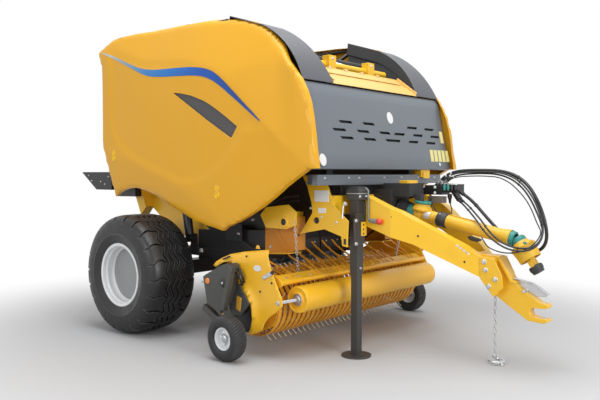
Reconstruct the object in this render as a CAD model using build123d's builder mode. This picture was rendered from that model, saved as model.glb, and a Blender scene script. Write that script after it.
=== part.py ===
from build123d import *
from math import acos, atan2, cos, hypot, pi, radians, sin, tan
import os

# Variable-chamber round baler, towed: chassis on two flotation tyres, drawbar with a parking jack,
# lifting pickup with gauge wheels, gull-wing side doors, front hood and rear tailgate.
#
# Frame: X across the machine, Y rearwards, Z up, millimetres. The origin is on the ground under the middle
# of the machine. Fore-and-aft places are written from the axle, rearwards positive, and shifted by AXLE_Y.
# Side pieces are drawn for the machine's right-hand side, which is -X, and mirrored to the left.

# ---- driving sizes ------------------------------------------------------------------------------------
AXLE_Y = 1125.0             # axle, measured from the origin

# road wheels
TYRE_R = 570.0              # outer radius, so also the height of the axle
TYRE_WIDTH = 510.0
TRACK_HALF = 1175.0         # tyre's middle plane
BEAD_R = 286.0              # where the tyre sits on the rim
RIM_R = BEAD_R + 17         # rim flange
RIM_WIDTH = 430.0
RIM_WALL = 10.0
HUB_R = 110.0
SPINDLE_R = 45.0
AXLE_BEAM = 140.0           # square axle tube

# body
WALL_X = 600.0              # inside face of the bale chamber walls
WALL = 12.0                 # chamber wall sheet
DOOR_X = 1130.0             # outer face of the side doors
DOOR_RETURN_X = 1060.0      # inner edge of the doors' folded rims
DOOR_SKIN = 8.0
PANEL_SKIN = 6.0            # hood, shoulder and roof sheet
SEAM_GAP = 11.0             # shut line between the doors and what lies between them

# pickup
REEL_Y, REEL_Z = -1470.0, 418.0
BAND_R = 270.0              # outside of the stripper bands
BAND_THICK = 6.0
BAND_WIDTH = 40.0
TINE_PITCH = 65.0
TINE_COUNT = 32
TINE_TIP_R = 310.0
TINE_R = 3.5
TINE_BAR_COUNT = 4
TINE_BAR_ORBIT = 170.0
TINE_BAR_R = 14.0
REEL_TUBE_R = 60.0
SHIELD_X = 1150.0           # outer shield, inside face
SHIELD_SHEET = 8.0
PICKUP_PLATE_X = 1065.0     # inner side plate, inside face
LIFT_Y, LIFT_Z = -980.0, 640.0      # pickup pivot, on the feed rotor's axis

# gauge wheels
GAUGE_R = 190.0
GAUGE_WIDTH = 140.0
GAUGE_X = 1390.0            # gauge wheel's middle plane
GAUGE_Y = -1466.0
GAUGE_BEAD_R = 100.0
GAUGE_AXLE_R = 14.0

# windguard
GUARD_PIVOT_Y, GUARD_PIVOT_Z = -1400.0, 800.0
GUARD_PIVOT_R = 12.0
GUARD_TUBE_Y, GUARD_TUBE_Z = -1800.0, 640.0
GUARD_TUBE_R = 23.0
ROLLER_R = 110.0
ROLLER_HALF = 980.0
ROLLER_Z = 505.0
ROLLER_FROM_REEL = TINE_TIP_R + ROLLER_R + 18.7     # axis to axis
ROLLER_Y = REEL_Y - (ROLLER_FROM_REEL**2 - (ROLLER_Z - REEL_Z) ** 2) ** 0.5

# drawbar, hitch and jack
HITCH_Y, HITCH_Z = -3530.0, 450.0   # hitch pin
HITCH_PIN_R = 16.5
JACK_X, JACK_Y = -560.0, -2165.0
JACK_TUBE = 80.0
JACK_LEG = 66.0
JACK_FOOT_R = 125.0

# driveline
PTO_Y, PTO_Z = -2230.0, 1225.0      # universal joint at the gearbox
PTO_FRONT_Y, PTO_FRONT_Z = -3290.0, 1018.0
PTO_GUARD_R = 60.0

FIT = 0.3                   # gap between a moving piece and its seat
RUN = 5.0                   # gap between pieces that pass each other

os.makedirs("parts", exist_ok=True)


# ---- helpers ------------------------------------------------------------------------------------------
def save(piece, name):
    piece.part.label = name
    export_step(piece.part, f"parts/{name}.step")


def save_pair(piece, name):
    """Writes a right-hand piece and its mirror image."""
    save(piece, f"{name}_right")
    with BuildPart() as other:
        mirror(piece.part, about=Plane.YZ)
    save(other, f"{name}_left")


def place(outline):
    """Outline points (y from the axle, z) as points of a YZ plane."""
    return [(AXLE_Y + y, z) for y, z in outline]


def plate(outline, x_low, x_high, mode=Mode.ADD):
    """A flat plate that stands fore and aft between two x, from a straight-sided (y, z) outline."""
    with BuildSketch(Plane.YZ.offset(x_low)) as face:
        with BuildLine():
            Polyline(*place(outline), close=True)
        make_face()
    extrude(face.sketch, amount=x_high - x_low, mode=mode)


def block(x_low, x_high, y_low, y_high, z_low, z_high, mode=Mode.ADD):
    """A rectangular block, with y from the axle."""
    with Locations((x_low, AXLE_Y + y_low, z_low)):
        Box(x_high - x_low, y_high - y_low, z_high - z_low, align=(Align.MIN,) * 3, mode=mode)


def rod(start, end, radius, mode=Mode.ADD):
    """A round bar between two points (x, y from the axle, z)."""
    low = Vector(start[0], AXLE_Y + start[1], start[2])
    high = Vector(end[0], AXLE_Y + end[1], end[2])
    with BuildSketch(Plane(origin=low, z_dir=high - low)) as face:
        Circle(radius)
    extrude(face.sketch, amount=(high - low).length, mode=mode)


def across(side, inner, outer):
    """The two x of something on one side of the machine, lowest first."""
    return sorted((side * inner, side * outer))


def trace(start, steps):
    """Draws an outline from (y, z) points.

    A step that is a pair of points is an arc, by its middle and its end.
    """
    here = start
    for step in steps:
        if isinstance(step[0], tuple):
            middle, end = step
            ThreePointArc(*place([here, middle, end]))
        else:
            end = step
            Line(*place([here, end]))
        here = end


def lowered(steps, drop):
    """The same outline, lower down."""
    moved = []
    for step in steps:
        if isinstance(step[0], tuple):
            moved.append(tuple((y, z - drop) for y, z in step))
        else:
            moved.append((step[0], step[1] - drop))
    return moved


def cross_rod(y, z, x_low, x_high, radius, mode=Mode.ADD):
    """A round bar that lies across the machine."""
    rod((x_low, y, z), (x_high, y, z), radius, mode)


def ring(profile, y, z):
    """A body of revolution about a cross axis, from (x, distance from the axis) points."""
    plane = Plane(origin=(0, AXLE_Y + y, z), x_dir=(1, 0, 0), z_dir=(0, -1, 0))
    with BuildSketch(plane) as face:
        with BuildLine():
            Polyline(*profile, close=True)
        make_face()
    revolve(face.sketch, axis=Axis((0, AXLE_Y + y, z), (1, 0, 0)))


def beam(start, end, width, height, mode=Mode.ADD):
    """A rectangular bar between two points (x, y from the axle, z), with its height upright."""
    low = Vector(start[0], AXLE_Y + start[1], start[2])
    high = Vector(end[0], AXLE_Y + end[1], end[2])
    along = high - low
    across = along.cross(Vector(0, 0, 1))
    with BuildSketch(Plane(origin=low, x_dir=across, z_dir=along)) as face:
        Rectangle(width, height)
    extrude(face.sketch, amount=along.length, mode=mode)


# ---- road wheels --------------------------------------------------------------------------------------
TYRE_SHOULDER = 95.0        # how far the tread rounds off
DISC_IN = 60.0              # wheel disc, inboard of the tyre's middle
DISC_THICK = 14.0

with BuildPart() as tyre:
    half = TYRE_WIDTH / 2
    bead = RIM_WIDTH / 2 - RIM_WALL
    ring(
        [
            (-TRACK_HALF - bead, BEAD_R),
            (-TRACK_HALF - bead, RIM_R + 4),
            (-TRACK_HALF - bead - 16, RIM_R + 22),
            (-TRACK_HALF - half, TYRE_R - 150),
            (-TRACK_HALF - half + 18, TYRE_R - 45),
            (-TRACK_HALF - half + TYRE_SHOULDER, TYRE_R),
            (-TRACK_HALF + half - TYRE_SHOULDER, TYRE_R),
            (-TRACK_HALF + half - 18, TYRE_R - 45),
            (-TRACK_HALF + half, TYRE_R - 150),
            (-TRACK_HALF + bead + 16, RIM_R + 22),
            (-TRACK_HALF + bead, RIM_R + 4),
            (-TRACK_HALF + bead, BEAD_R),
        ],
        0,
        TYRE_R,
    )
save_pair(tyre, "tyre")

with BuildPart() as rim:
    half = RIM_WIDTH / 2
    disc_x = -TRACK_HALF + DISC_IN
    ring(
        [
            (-TRACK_HALF - half, BEAD_R - RIM_WALL),
            (-TRACK_HALF - half, RIM_R),
            (-TRACK_HALF - half + RIM_WALL, RIM_R),
            (-TRACK_HALF - half + RIM_WALL, BEAD_R),
            (-TRACK_HALF + half - RIM_WALL, BEAD_R),
            (-TRACK_HALF + half - RIM_WALL, RIM_R),
            (-TRACK_HALF + half, RIM_R),
            (-TRACK_HALF + half, BEAD_R - RIM_WALL),
            (disc_x + DISC_THICK, BEAD_R - RIM_WALL),
            (disc_x + DISC_THICK, HUB_R),
            (disc_x + DISC_THICK + 20, HUB_R),
            (disc_x + DISC_THICK + 20, SPINDLE_R + FIT),
            (disc_x - 45, SPINDLE_R + FIT),
            (disc_x - 45, HUB_R - 20),
            (disc_x, HUB_R - 20),
            (disc_x, BEAD_R - RIM_WALL),
        ],
        0,
        TYRE_R,
    )
save_pair(rim, "rim")

AXLE_HALF = 880.0
with BuildPart() as axle:
    block(
        -AXLE_HALF, AXLE_HALF, -AXLE_BEAM / 2, AXLE_BEAM / 2, TYRE_R - AXLE_BEAM / 2, TYRE_R + AXLE_BEAM / 2,
    )
    for side in (-1, 1):
        cross_rod(0, TYRE_R, side * AXLE_HALF, side * (TRACK_HALF - DISC_IN + 60), SPINDLE_R)
        cross_rod(0, TYRE_R, side * AXLE_HALF, side * (AXLE_HALF + 60), SPINDLE_R + 30)
save(axle, "axle")

# ---- chassis ------------------------------------------------------------------------------------------
GATE_Y, GATE_Z = -330.0, 2700.0     # tailgate hinge
SPLIT_GAP = 15.0            # between the chassis walls and the tailgate walls
RAIL_X = 705.0              # outer face of the side rails
RAIL_Z = 720.0              # underside of the side rails
RAIL_HEIGHT = 80.0
FRONT_POST_Y = -1940.0      # front edge of the chamber walls
CROSS_Z, CROSS_HEIGHT = 1200.0, 150.0   # front cross beam
CROSS_DEPTH = 110.0
PIN_R = 30.0                # gate and pickup pivot pins
HINGE_BOSS_R = 52.0         # gate boss on the hinge pin
PIN_BOSS = 28.0             # how far the pins stand out of the walls
HOOK_X = 714.0              # inner face of the front hook plates
PLATE = 12.0

# side door's crest and its hinge rail
CREST_X = 985.0             # inner edge of the doors' rims at the crest
CREST_ARC = ((-780, 2930), (-100, 2940), (540, 2920))
DOOR_RAIL_X, DOOR_RAIL_Z, DOOR_RAIL_R = 962.0, 2896.0, 16.0


def door_crest(y):
    """Height of the doors' crest, along its shallow arc."""
    height = 0
    for i, (y_i, z_i) in enumerate(CREST_ARC):
        weight = 1
        for j, (y_j, _) in enumerate(CREST_ARC):
            if i != j:
                weight *= (y - y_j) / (y_i - y_j)
        height += weight * z_i
    return height


rotor_pivot = (LIFT_Y, LIFT_Z)
chassis_outline = [
    (GATE_Y - SPLIT_GAP, GATE_Z + 60), (-900, 2740), (-1350, 2600), (-1700, 2360),
    (FRONT_POST_Y + 20, 2140),
    (FRONT_POST_Y, 1560), (FRONT_POST_Y, 1180), (-1300, 1000), (LIFT_Y - 130, LIFT_Z + 90),
    (LIFT_Y - 100, LIFT_Z - 90), (LIFT_Y + 100, LIFT_Z - 100), (-640, 715), (-615, 865),
    (GATE_Y - SPLIT_GAP, 1010),
]
with BuildPart() as chassis_wall:
    outside = -WALL_X - WALL
    plate(chassis_outline, outside, -WALL_X)
    cross_rod(GATE_Y, GATE_Z, outside, -WALL_X, HINGE_BOSS_R + RUN, Mode.SUBTRACT)
    block(outside - 70, outside, FRONT_POST_Y, FRONT_POST_Y + 80, CROSS_Z, 2120)
    block(-RAIL_X, outside, -1190, -650, RAIL_Z, RAIL_Z + RAIL_HEIGHT)
    block(-RAIL_X, outside - 10, -660, AXLE_BEAM / 2, RAIL_Z, RAIL_Z + RAIL_HEIGHT)
    block(-RAIL_X, outside - 10, -AXLE_BEAM / 2, AXLE_BEAM / 2, TYRE_R + AXLE_BEAM / 2, RAIL_Z)
    block(outside - 60, outside, GATE_Y - SPLIT_GAP - 90, GATE_Y - SPLIT_GAP - 30, 1040, GATE_Z - 60)
    cross_rod(*rotor_pivot, outside - PIN_BOSS, outside, PIN_R)
    block(outside - 24, outside, GATE_Y - 120, GATE_Y - HINGE_BOSS_R - RUN, GATE_Z - 60, GATE_Z + 40)
    plate(
        [
            (GATE_Y - 120, GATE_Z + 40), (GATE_Y + 25, GATE_Z + 40), (GATE_Y + 45, GATE_Z - 30),
            (GATE_Y - 30, GATE_Z - 60), (GATE_Y - 120, GATE_Z - 60),
        ],
        outside - 36,
        outside - 20,
    )
    cross_rod(GATE_Y, GATE_Z, outside - 30, -WALL_X + 40, PIN_R)
    # door rail: a tube that carries the side door's hinges, on two arms from the wall
    for y in (-1000, -480):
        beam((outside, y, 2690), (-DOOR_RAIL_X, y, DOOR_RAIL_Z), 30, 30)
    rod((-DOOR_RAIL_X, -1040, DOOR_RAIL_Z), (-DOOR_RAIL_X, 150, DOOR_RAIL_Z), DOOR_RAIL_R)
    for y in (-500, -100):
        block(-CREST_X - 2, -DOOR_RAIL_X, y - 25, y + 25, DOOR_RAIL_Z, door_crest(y) - DOOR_SKIN - FIT)
save_pair(chassis_wall, "chassis_wall")

hook_outline = [
    (-1700, 1530), (-1760, 1435), (-1810, 1286), (-1820, 1200), (-1680, 1014), (-1950, 1068), (-2130, 1017),
    (-2140, 940), (-2190, 933), (-2200, 1146), (-2050, 1266), (-1980, 1450),
]
eye_outline = [
    (-1330, 1170), (-1400, 1240), (-1660, 1270), (-1750, 1210), (-1750, 1100),
    (-1640, 1060), (-1400, 1060),
]
EYE_X = 846.0
with BuildPart() as front_frame:
    low = CROSS_Z
    block(-HOOK_X, HOOK_X, FRONT_POST_Y - CROSS_DEPTH, FRONT_POST_Y, low, low + CROSS_HEIGHT)
    for side in (-1, 1):
        plate(hook_outline, *across(side, HOOK_X, HOOK_X + PLATE))
        plate(eye_outline, *across(side, EYE_X, EYE_X + PLATE))
        block(*across(side, WALL_X + WALL, EYE_X), -1620, -1480, 1120, 1200)
save(front_frame, "front_frame")

HOOD_BEAM_Y = -2050.0
with BuildPart() as hood_beam:
    block(-970, 970, HOOD_BEAM_Y - 30, HOOD_BEAM_Y + 30, 1440, 1525)
    for side in (-1, 1):
        block(*across(side, HOOK_X + PLATE, HOOK_X + PLATE + 40), HOOD_BEAM_Y + 30, -1800, 1440, 1525)
save(hood_beam, "hood_beam")

# The rollers that start the bale and guide the belts, held between the chamber walls.
chamber_rollers = [
    (-720, 930, 105), (-1560, 1230, 90), (-1800, 1700, 80), (-1780, 2120, 80),
    (-1300, 2480, 80),
]
with BuildPart() as front_rollers:
    for y, z, radius in chamber_rollers:
        cross_rod(y, z, -WALL_X + FIT, WALL_X - FIT, radius)
save(front_rollers, "front_rollers")

# ---- drawbar and hitch --------------------------------------------------------------------------------
BEAM_WIDTH = 95.0
LEG_X = 500.0               # outer face of the drawbar's legs at the machine
HEAD_Y = -3185.0            # front face of the drawbar
HEAD_HALF = 120.0
drawbar_side = [
    (FRONT_POST_Y - CROSS_DEPTH, 1350), (-2220, 1348), (-2500, 1226), (-2950, 953), (-3060, 869),
    (HEAD_Y, 867),
    (HEAD_Y, 566), (-3070, 700), (-2610, 956), (-2180, 1109), (FRONT_POST_Y - CROSS_DEPTH, 1120),
]
with BuildPart() as drawbar:
    plate(drawbar_side, -600, 600)
    with BuildSketch(Plane.XY) as legs:
        with BuildLine():
            back = AXLE_Y + FRONT_POST_Y - CROSS_DEPTH
            Polyline(
                (-LEG_X, back), (-LEG_X, AXLE_Y - 2250), (-LEG_X + 15, AXLE_Y - 2450),
                (-HEAD_HALF, AXLE_Y - 3060), (-HEAD_HALF, AXLE_Y + HEAD_Y),
                (0, AXLE_Y + HEAD_Y), (0, AXLE_Y - 3020), (-60, AXLE_Y - 3020),
                (-LEG_X + 15 + BEAM_WIDTH, AXLE_Y - 2430), (-LEG_X + BEAM_WIDTH, AXLE_Y - 2250),
                (-LEG_X + BEAM_WIDTH, back), close=True,
            )
        make_face()
        mirror(about=Plane.YZ)
    extrude(legs.sketch, amount=1600, mode=Mode.INTERSECT)
save(drawbar, "drawbar")

JAW_HALF = 60.0
JAW_TOP, JAW_GAP, JAW_BOTTOM = 30.0, 60.0, 30.0
with BuildPart() as hitch:
    jaw_low = HITCH_Z - JAW_GAP / 2 - JAW_BOTTOM
    jaw_high = HITCH_Z + JAW_GAP / 2 + JAW_TOP
    block(-110, 110, HEAD_Y - 45, HEAD_Y, jaw_low - 20, 820)
    block(-JAW_HALF, JAW_HALF, HITCH_Y, HEAD_Y - 45, jaw_low, jaw_high)
    with Locations((0, AXLE_Y + HITCH_Y, jaw_low)):
        Cylinder(JAW_HALF, jaw_high - jaw_low, align=(Align.CENTER, Align.CENTER, Align.MIN))
    block(
        -110, 110, HITCH_Y - JAW_HALF - 1, HEAD_Y - 150, HITCH_Z - JAW_GAP / 2, HITCH_Z + JAW_GAP / 2, Mode.SUBTRACT,
    )
    with Locations((0, AXLE_Y + HITCH_Y, HITCH_Z)):
        Cylinder(HITCH_PIN_R, 200, mode=Mode.SUBTRACT)
save(hitch, "hitch")

# ---- driveline ----------------------------------------------------------------------------------------
pto_along = Vector(0, PTO_FRONT_Y - PTO_Y, PTO_FRONT_Z - PTO_Z).normalized()


def on_pto(distance):
    """A point on the driveline's axis, as (x, y from the axle, z)."""
    return (0, PTO_Y + pto_along.Y * distance, PTO_Z + pto_along.Z * distance)


PTO_LENGTH = hypot(PTO_FRONT_Y - PTO_Y, PTO_FRONT_Z - PTO_Z)
BOWL_R = 105.0
JOINT_AT = 62.0             # driveline's rear joint, from the gearbox face
JOINT_STUB_R, JOINT_PIN_R, JOINT_HALF = 17.0, 9.0, 35.0


def joint_ears(centre, toward):
    """The two ears of a universal joint's yoke, bored for the cross pin at its centre."""
    for side in (-1, 1):
        low, high = across(side, JOINT_STUB_R + RUN, JOINT_HALF - 1)
        middle = (low + high) / 2
        beam((middle, *centre[1:]), (middle, *toward[1:]), high - low, 40)
        cross_rod(*centre[1:], low, high, 20)
    cross_rod(*centre[1:], -JOINT_HALF, JOINT_HALF, JOINT_PIN_R + FIT, Mode.SUBTRACT)


BOWL_START, BOWL_END = 26.0, 170.0
with BuildPart() as gearbox:
    back = FRONT_POST_Y - CROSS_DEPTH
    block(-150, 150, PTO_Y, back, 1110, 1400)
    block(-115, 115, PTO_Y - 170, PTO_Y, 1335, 1450)
    block(-115, 115, PTO_Y, PTO_Y + 100, 1400, 1450)
    rod(on_pto(-20), on_pto(BOWL_START), 70)
    rod(on_pto(BOWL_START), on_pto(JOINT_AT), JOINT_STUB_R)
    cross_rod(*on_pto(JOINT_AT)[1:], -JOINT_HALF, JOINT_HALF, JOINT_PIN_R)
save(gearbox, "gearbox")

# ---- hoses and their stand ----------------------------------------------------------------------------
# Each hose leaves the stand's clamp block, hangs in a loop over the driveline's front end and comes back to
# the stand. A route's points are (x, y from the axle, z).
hoses = [
    # name, diameter, how far its two fittings reach, points
    ("hose_thick", 28.0, 30.0, 70.0, [
        (300, -2440, 1445), (300, -2492, 1498), (296, -2572, 1540), (287, -2678, 1560), (272, -2808, 1563),
        (254, -2944, 1562), (230, -3060, 1558), (204, -3166, 1538), (178, -3262, 1498), (148, -3348, 1434),
        (118, -3412, 1358), (94, -3463, 1276), (78, -3500, 1190), (76, -3522, 1104), (92, -3520, 1016),
        (124, -3476, 944), (148, -3396, 906), (158, -3304, 914), (165, -3212, 958), (175, -3128, 1022),
        (198, -3023, 1106), (230, -2922, 1190), (264, -2836, 1260), (288, -2768, 1308), (297, -2724, 1335),
        (302, -2694, 1352),
    ]),
    ("hose_thin_low", 15.0, 30.0, 60.0, [
        (262, -2490, 1443), (262, -2537, 1493), (255, -2617, 1533), (245, -2722, 1546), (228, -2844, 1549),
        (205, -2962, 1549), (184, -3072, 1544), (158, -3174, 1522), (129, -3268, 1480), (98, -3348, 1418),
        (62, -3420, 1342), (26, -3476, 1256), (-10, -3520, 1172), (-52, -3549, 1096), (-100, -3550, 1024),
        (-134, -3510, 968), (-148, -3440, 942), (-148, -3362, 942), (-145, -3288, 957), (-142, -3220, 988),
        (-136, -3156, 1030), (-118, -3094, 1078), (-76, -3030, 1130), (-12, -2954, 1178), (58, -2872, 1222),
        (120, -2798, 1260), (168, -2738, 1288),
    ]),
    ("hose_thin_high", 15.0, 30.0, 60.0, [
        (335, -2475, 1441), (335, -2520, 1481), (328, -2593, 1514), (315, -2693, 1530), (295, -2810, 1535),
        (272, -2924, 1536), (250, -3030, 1529), (225, -3134, 1504), (195, -3227, 1460), (162, -3310, 1396),
        (126, -3380, 1316), (88, -3437, 1234), (46, -3488, 1160), (-4, -3527, 1092), (-62, -3534, 1028),
        (-106, -3500, 978), (-128, -3436, 960), (-132, -3354, 964), (-132, -3286, 982), (-130, -3222, 1014),
        (-122, -3160, 1058), (-100, -3100, 1112), (-48, -3034, 1158), (18, -2956, 1200), (84, -2880, 1240),
        (142, -2808, 1274), (186, -2752, 1296),
    ]),
    ("signal_lead", 10.0, 25.0, 80.0, [
        (375, -2478, 1437), (375, -2505, 1470), (370, -2555, 1496), (362, -2632, 1508), (352, -2722, 1512),
        (340, -2812, 1514), (327, -2905, 1512), (312, -3000, 1506), (296, -3072, 1484), (280, -3142, 1448),
        (258, -3206, 1400), (232, -3268, 1348), (204, -3326, 1286), (172, -3376, 1214), (136, -3420, 1146),
        (90, -3462, 1106), (34, -3496, 1086), (-24, -3513, 1055), (-76, -3500, 1008), (-110, -3452, 960),
        (-132, -3384, 928), (-148, -3308, 918), (-138, -3234, 922), (-106, -3168, 932), (-64, -3112, 942),
        (-14, -3066, 954), (38, -3022, 974), (84, -2978, 1002), (116, -2930, 1040), (124, -2876, 1082),
        (116, -2816, 1118), (104, -2750, 1144), (98, -2680, 1160), (102, -2612, 1170), (122, -2552, 1188),
        (152, -2502, 1214), (184, -2460, 1244), (212, -2428, 1274), (234, -2408, 1304),
    ]),
]
FITTING_WALL = 4.0          # how much thicker a fitting is than its hose
HOLDER_X = 320.0
HOLDER_HALF = 62.0
CLAMP_BACK, CLAMP_FRONT = -2330.0, -2510.0      # clamp block
COUPLER_FRONT = -2655.0     # block that the couplers plug into


def beyond(end, before, reach):
    """The point past the end of a line from before to end, by reach."""
    tip, base = Vector(*end), Vector(*before)
    point = tip + (tip - base).normalized() * reach
    return (point.X, point.Y, point.Z)


with BuildPart() as hose_stand:
    back = FRONT_POST_Y - CROSS_DEPTH
    beam((HOLDER_X, back - 12, 1310), (HOLDER_X, CLAMP_BACK - 20, 1395), 40, 60)
    block(HOLDER_X - 35, HOLDER_X + 35, back - 14, back, 1270, CROSS_Z + CROSS_HEIGHT)
    block(HOLDER_X - HOLDER_HALF - 8, HOLDER_X + HOLDER_HALF + 3, CLAMP_FRONT, CLAMP_BACK, 1345, 1430)
    block(HOLDER_X - HOLDER_HALF, HOLDER_X + HOLDER_HALF, COUPLER_FRONT, CLAMP_FRONT, 1365, 1440)
    beam((205, -2708, 1306), (290, -2600, 1385), 40, 36)
    for name, diameter, first_reach, last_reach, route in hoses:
        for end, before, reach in ((route[0], route[1], first_reach), (route[-1], route[-2], last_reach)):
            rod(end, beyond(end, before, reach), diameter / 2 + FITTING_WALL)
save(hose_stand, "hose_stand")

# ---- parking jack -------------------------------------------------------------------------------------
JACK_TOP, JACK_LOW = 1420.0, 700.0
JACK_WALL = (JACK_TUBE - JACK_LEG) / 2 - FIT
JACK_LEG_TOP = 980.0
with BuildPart() as jack_tube:
    half = JACK_TUBE / 2
    block(JACK_X - half, JACK_X + half, JACK_Y - half, JACK_Y + half, JACK_LOW, JACK_TOP)
    inner = half - JACK_WALL
    block(
        JACK_X - inner, JACK_X + inner, JACK_Y - inner, JACK_Y + inner, JACK_LOW, JACK_TOP - 10, Mode.SUBTRACT,
    )
    block(JACK_X + half, -LEG_X, JACK_Y - 50, JACK_Y + 50, 1130, 1300)
    block(JACK_X - 75, JACK_X + half, JACK_Y - half - 14, JACK_Y - half, 950, 1200)
save(jack_tube, "jack_tube")

with BuildPart() as jack_leg:
    half = JACK_LEG / 2
    block(JACK_X - half, JACK_X + half, JACK_Y - half, JACK_Y + half, 10, JACK_LEG_TOP)
    with Locations((JACK_X, AXLE_Y + JACK_Y, 0)):
        Cylinder(JACK_FOOT_R, 14, align=(Align.CENTER, Align.CENTER, Align.MIN))
save(jack_leg, "jack_leg")

with BuildPart() as pto_bowl:
    rod(on_pto(BOWL_START), on_pto(BOWL_END), BOWL_R)
    rod(on_pto(BOWL_START + 6), on_pto(BOWL_END + 1), BOWL_R - 6, Mode.SUBTRACT)
    rod(on_pto(BOWL_START - 1), on_pto(BOWL_START + 7), JOINT_STUB_R + FIT, Mode.SUBTRACT)
save(pto_bowl, "pto_bowl")

PTO_SLEEVE_R = 42.0
PTO_REAR_R = 54.0           # rear guard tube, inside the front one
PTO_CONE_R, PTO_BELL_R, PTO_CLAMP_R = 78.0, 85.0, 72.0
PTO_SPLIT = 485.0           # rear end of the front guard tube, along the driveline
PTO_OVERLAP = 275.0         # how far the rear tube reaches into the front one
with BuildPart() as pto_rear_guard:
    rod(on_pto(JOINT_AT + 50), on_pto(210), PTO_SLEEVE_R)
    rod(on_pto(205), on_pto(PTO_SPLIT + PTO_OVERLAP), PTO_REAR_R)
    rod(on_pto(205), on_pto(300), PTO_CONE_R)
    rod(on_pto(PTO_SPLIT - 85), on_pto(PTO_SPLIT - RUN), PTO_CLAMP_R)
    joint_ears(on_pto(JOINT_AT), on_pto(JOINT_AT + 55))
save(pto_rear_guard, "pto_rear_guard")

with BuildPart() as pto_shaft:
    front = PTO_LENGTH
    rod(on_pto(PTO_SPLIT), on_pto(front - 120), PTO_GUARD_R)
    rod(on_pto(PTO_SPLIT - 1), on_pto(PTO_SPLIT + PTO_OVERLAP + 20), PTO_REAR_R + FIT, Mode.SUBTRACT)
    rod(on_pto(front - 200), on_pto(front - 60), PTO_BELL_R)
    rod(on_pto(front - 60), on_pto(front), JOINT_STUB_R)
    cross_rod(*on_pto(front)[1:], -JOINT_HALF, JOINT_HALF, JOINT_PIN_R)
save(pto_shaft, "pto_shaft")

YOKE_END = (0, -3465, 815)
COUPLING_BORE_R = 17.5      # fits the tractor's shaft
with BuildPart() as pto_yoke:
    start = on_pto(PTO_LENGTH)
    along = Vector(0, YOKE_END[1] - start[1], YOKE_END[2] - start[2]).normalized()
    sleeve = (0, start[1] + along.Y * 50, start[2] + along.Z * 50)
    rod(sleeve, YOKE_END, 46)
    joint_ears(start, (0, start[1] + along.Y * 55, start[2] + along.Z * 55))
    bore_from = (0, YOKE_END[1] - along.Y * 90, YOKE_END[2] - along.Z * 90)
    rod(bore_from, (0, YOKE_END[1] + along.Y, YOKE_END[2] + along.Z), COUPLING_BORE_R, Mode.SUBTRACT)
save(pto_yoke, "pto_yoke")

# ---- side doors ---------------------------------------------------------------------------------------
RIM_BEND_Z, CREST_Z = 2300.0, 2950.0
door_start = (-2190, 1575)
door_edge = [
    ((-2150, 2055), (-1890, 2447)),
    (-1530, 2770),
    ((-1140, 2895), CREST_ARC[0]),
    CREST_ARC[1:],
    (770, 2790), (710, 2650), (700, 2280), (707, 1880), (630, 1580), (540, 1296),
    ((160, 1395), (-200, 1310)),
    (-410, 1215), (-715, 1106), (-1107, 1033), (-1149, 1064), (-1430, 1176), (-1860, 1430), (-2104, 1571),
    (-2190, 1575),
]
# Each upper facet leans in from a crease: two points on the crease and one higher up, as (x, y, z).
door_facets = [
    ((-DOOR_X, 41, 2506), (-DOOR_X, -916, 2381), (-DOOR_X + 130, -300, 2935)),
    ((-DOOR_X, -1175, 2272), (-DOOR_X, -2105, 1570), (-DOOR_X + 75, -1997, 2283)),
]


def door_form(inset, reach):
    """The door's outer form, or the same form a skin's thickness inside it, open towards the machine."""
    with BuildPart() as form:
        with BuildSketch(Plane.YZ.offset(-DOOR_X + inset)) as face:
            with BuildLine():
                trace(door_start, door_edge)
            make_face()
            if inset:
                offset(amount=-inset, kind=Kind.INTERSECTION)
        extrude(face.sketch, amount=DOOR_X - inset - CREST_X + reach)
        with BuildSketch(Plane.XZ.offset(-AXLE_Y - 1500)) as section:
            with BuildLine():
                Polyline(
                    (-DOOR_X + inset, 900), (-DOOR_X + inset, 3100), (-CREST_X + reach, 3100),
                    (-CREST_X + reach, CREST_Z), (-DOOR_RETURN_X + reach, RIM_BEND_Z),
                    (-DOOR_RETURN_X + reach, 900), close=True,
                )
            make_face()
        extrude(section.sketch, amount=4500, mode=Mode.INTERSECT)
        for first, second, third in door_facets:
            a, b, c = (Vector(x + inset, AXLE_Y + y, z) for x, y, z in (first, second, third))
            normal = (b - a).cross(c - a)
            if normal.X < 0:
                normal = -normal
            split(bisect_by=Plane(origin=a, z_dir=normal), keep=Keep.TOP)
    return form.part


with BuildPart() as side_door:
    add(door_form(0, 0))
    add(door_form(DOOR_SKIN, 40), mode=Mode.SUBTRACT)
save_pair(side_door, "side_door")

# ---- hood and fixed top panels ------------------------------------------------------------------------
HOOD_HALF = DOOR_RETURN_X - SEAM_GAP
HOOD_TOP = (-1997.0, 2283.0)
HOOD_LOW = (-2143.0, 1577.0)
HOOD_DEPTH = 45.0
with BuildPart() as front_hood:
    (top_y, top_z), (low_y, low_z) = HOOD_TOP, HOOD_LOW
    plate(
        [(top_y, top_z), (low_y, low_z), (low_y + HOOD_DEPTH, low_z), (top_y + HOOD_DEPTH, top_z)],
        -HOOD_HALF, HOOD_HALF,
    )
    skin = PANEL_SKIN
    plate(
        [
            (top_y + skin, top_z - skin), (low_y + skin, low_z + skin),
            (low_y + HOOD_DEPTH + 5, low_z + skin), (top_y + HOOD_DEPTH + 5, top_z - skin),
        ],
        -HOOD_HALF + skin, HOOD_HALF - skin, Mode.SUBTRACT,
    )
save(front_hood, "front_hood")

SHOULDER_LOW_X, SHOULDER_HIGH_X = 655.0, 750.0      # inner edge, at the hood and at the top
SHOULDER_DEPTH = 120.0
shoulder_start = (-1990, 2296)
shoulder_edge = [((-1800, 2580), (-1480, 2800)), (-1074, 2930)]


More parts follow.
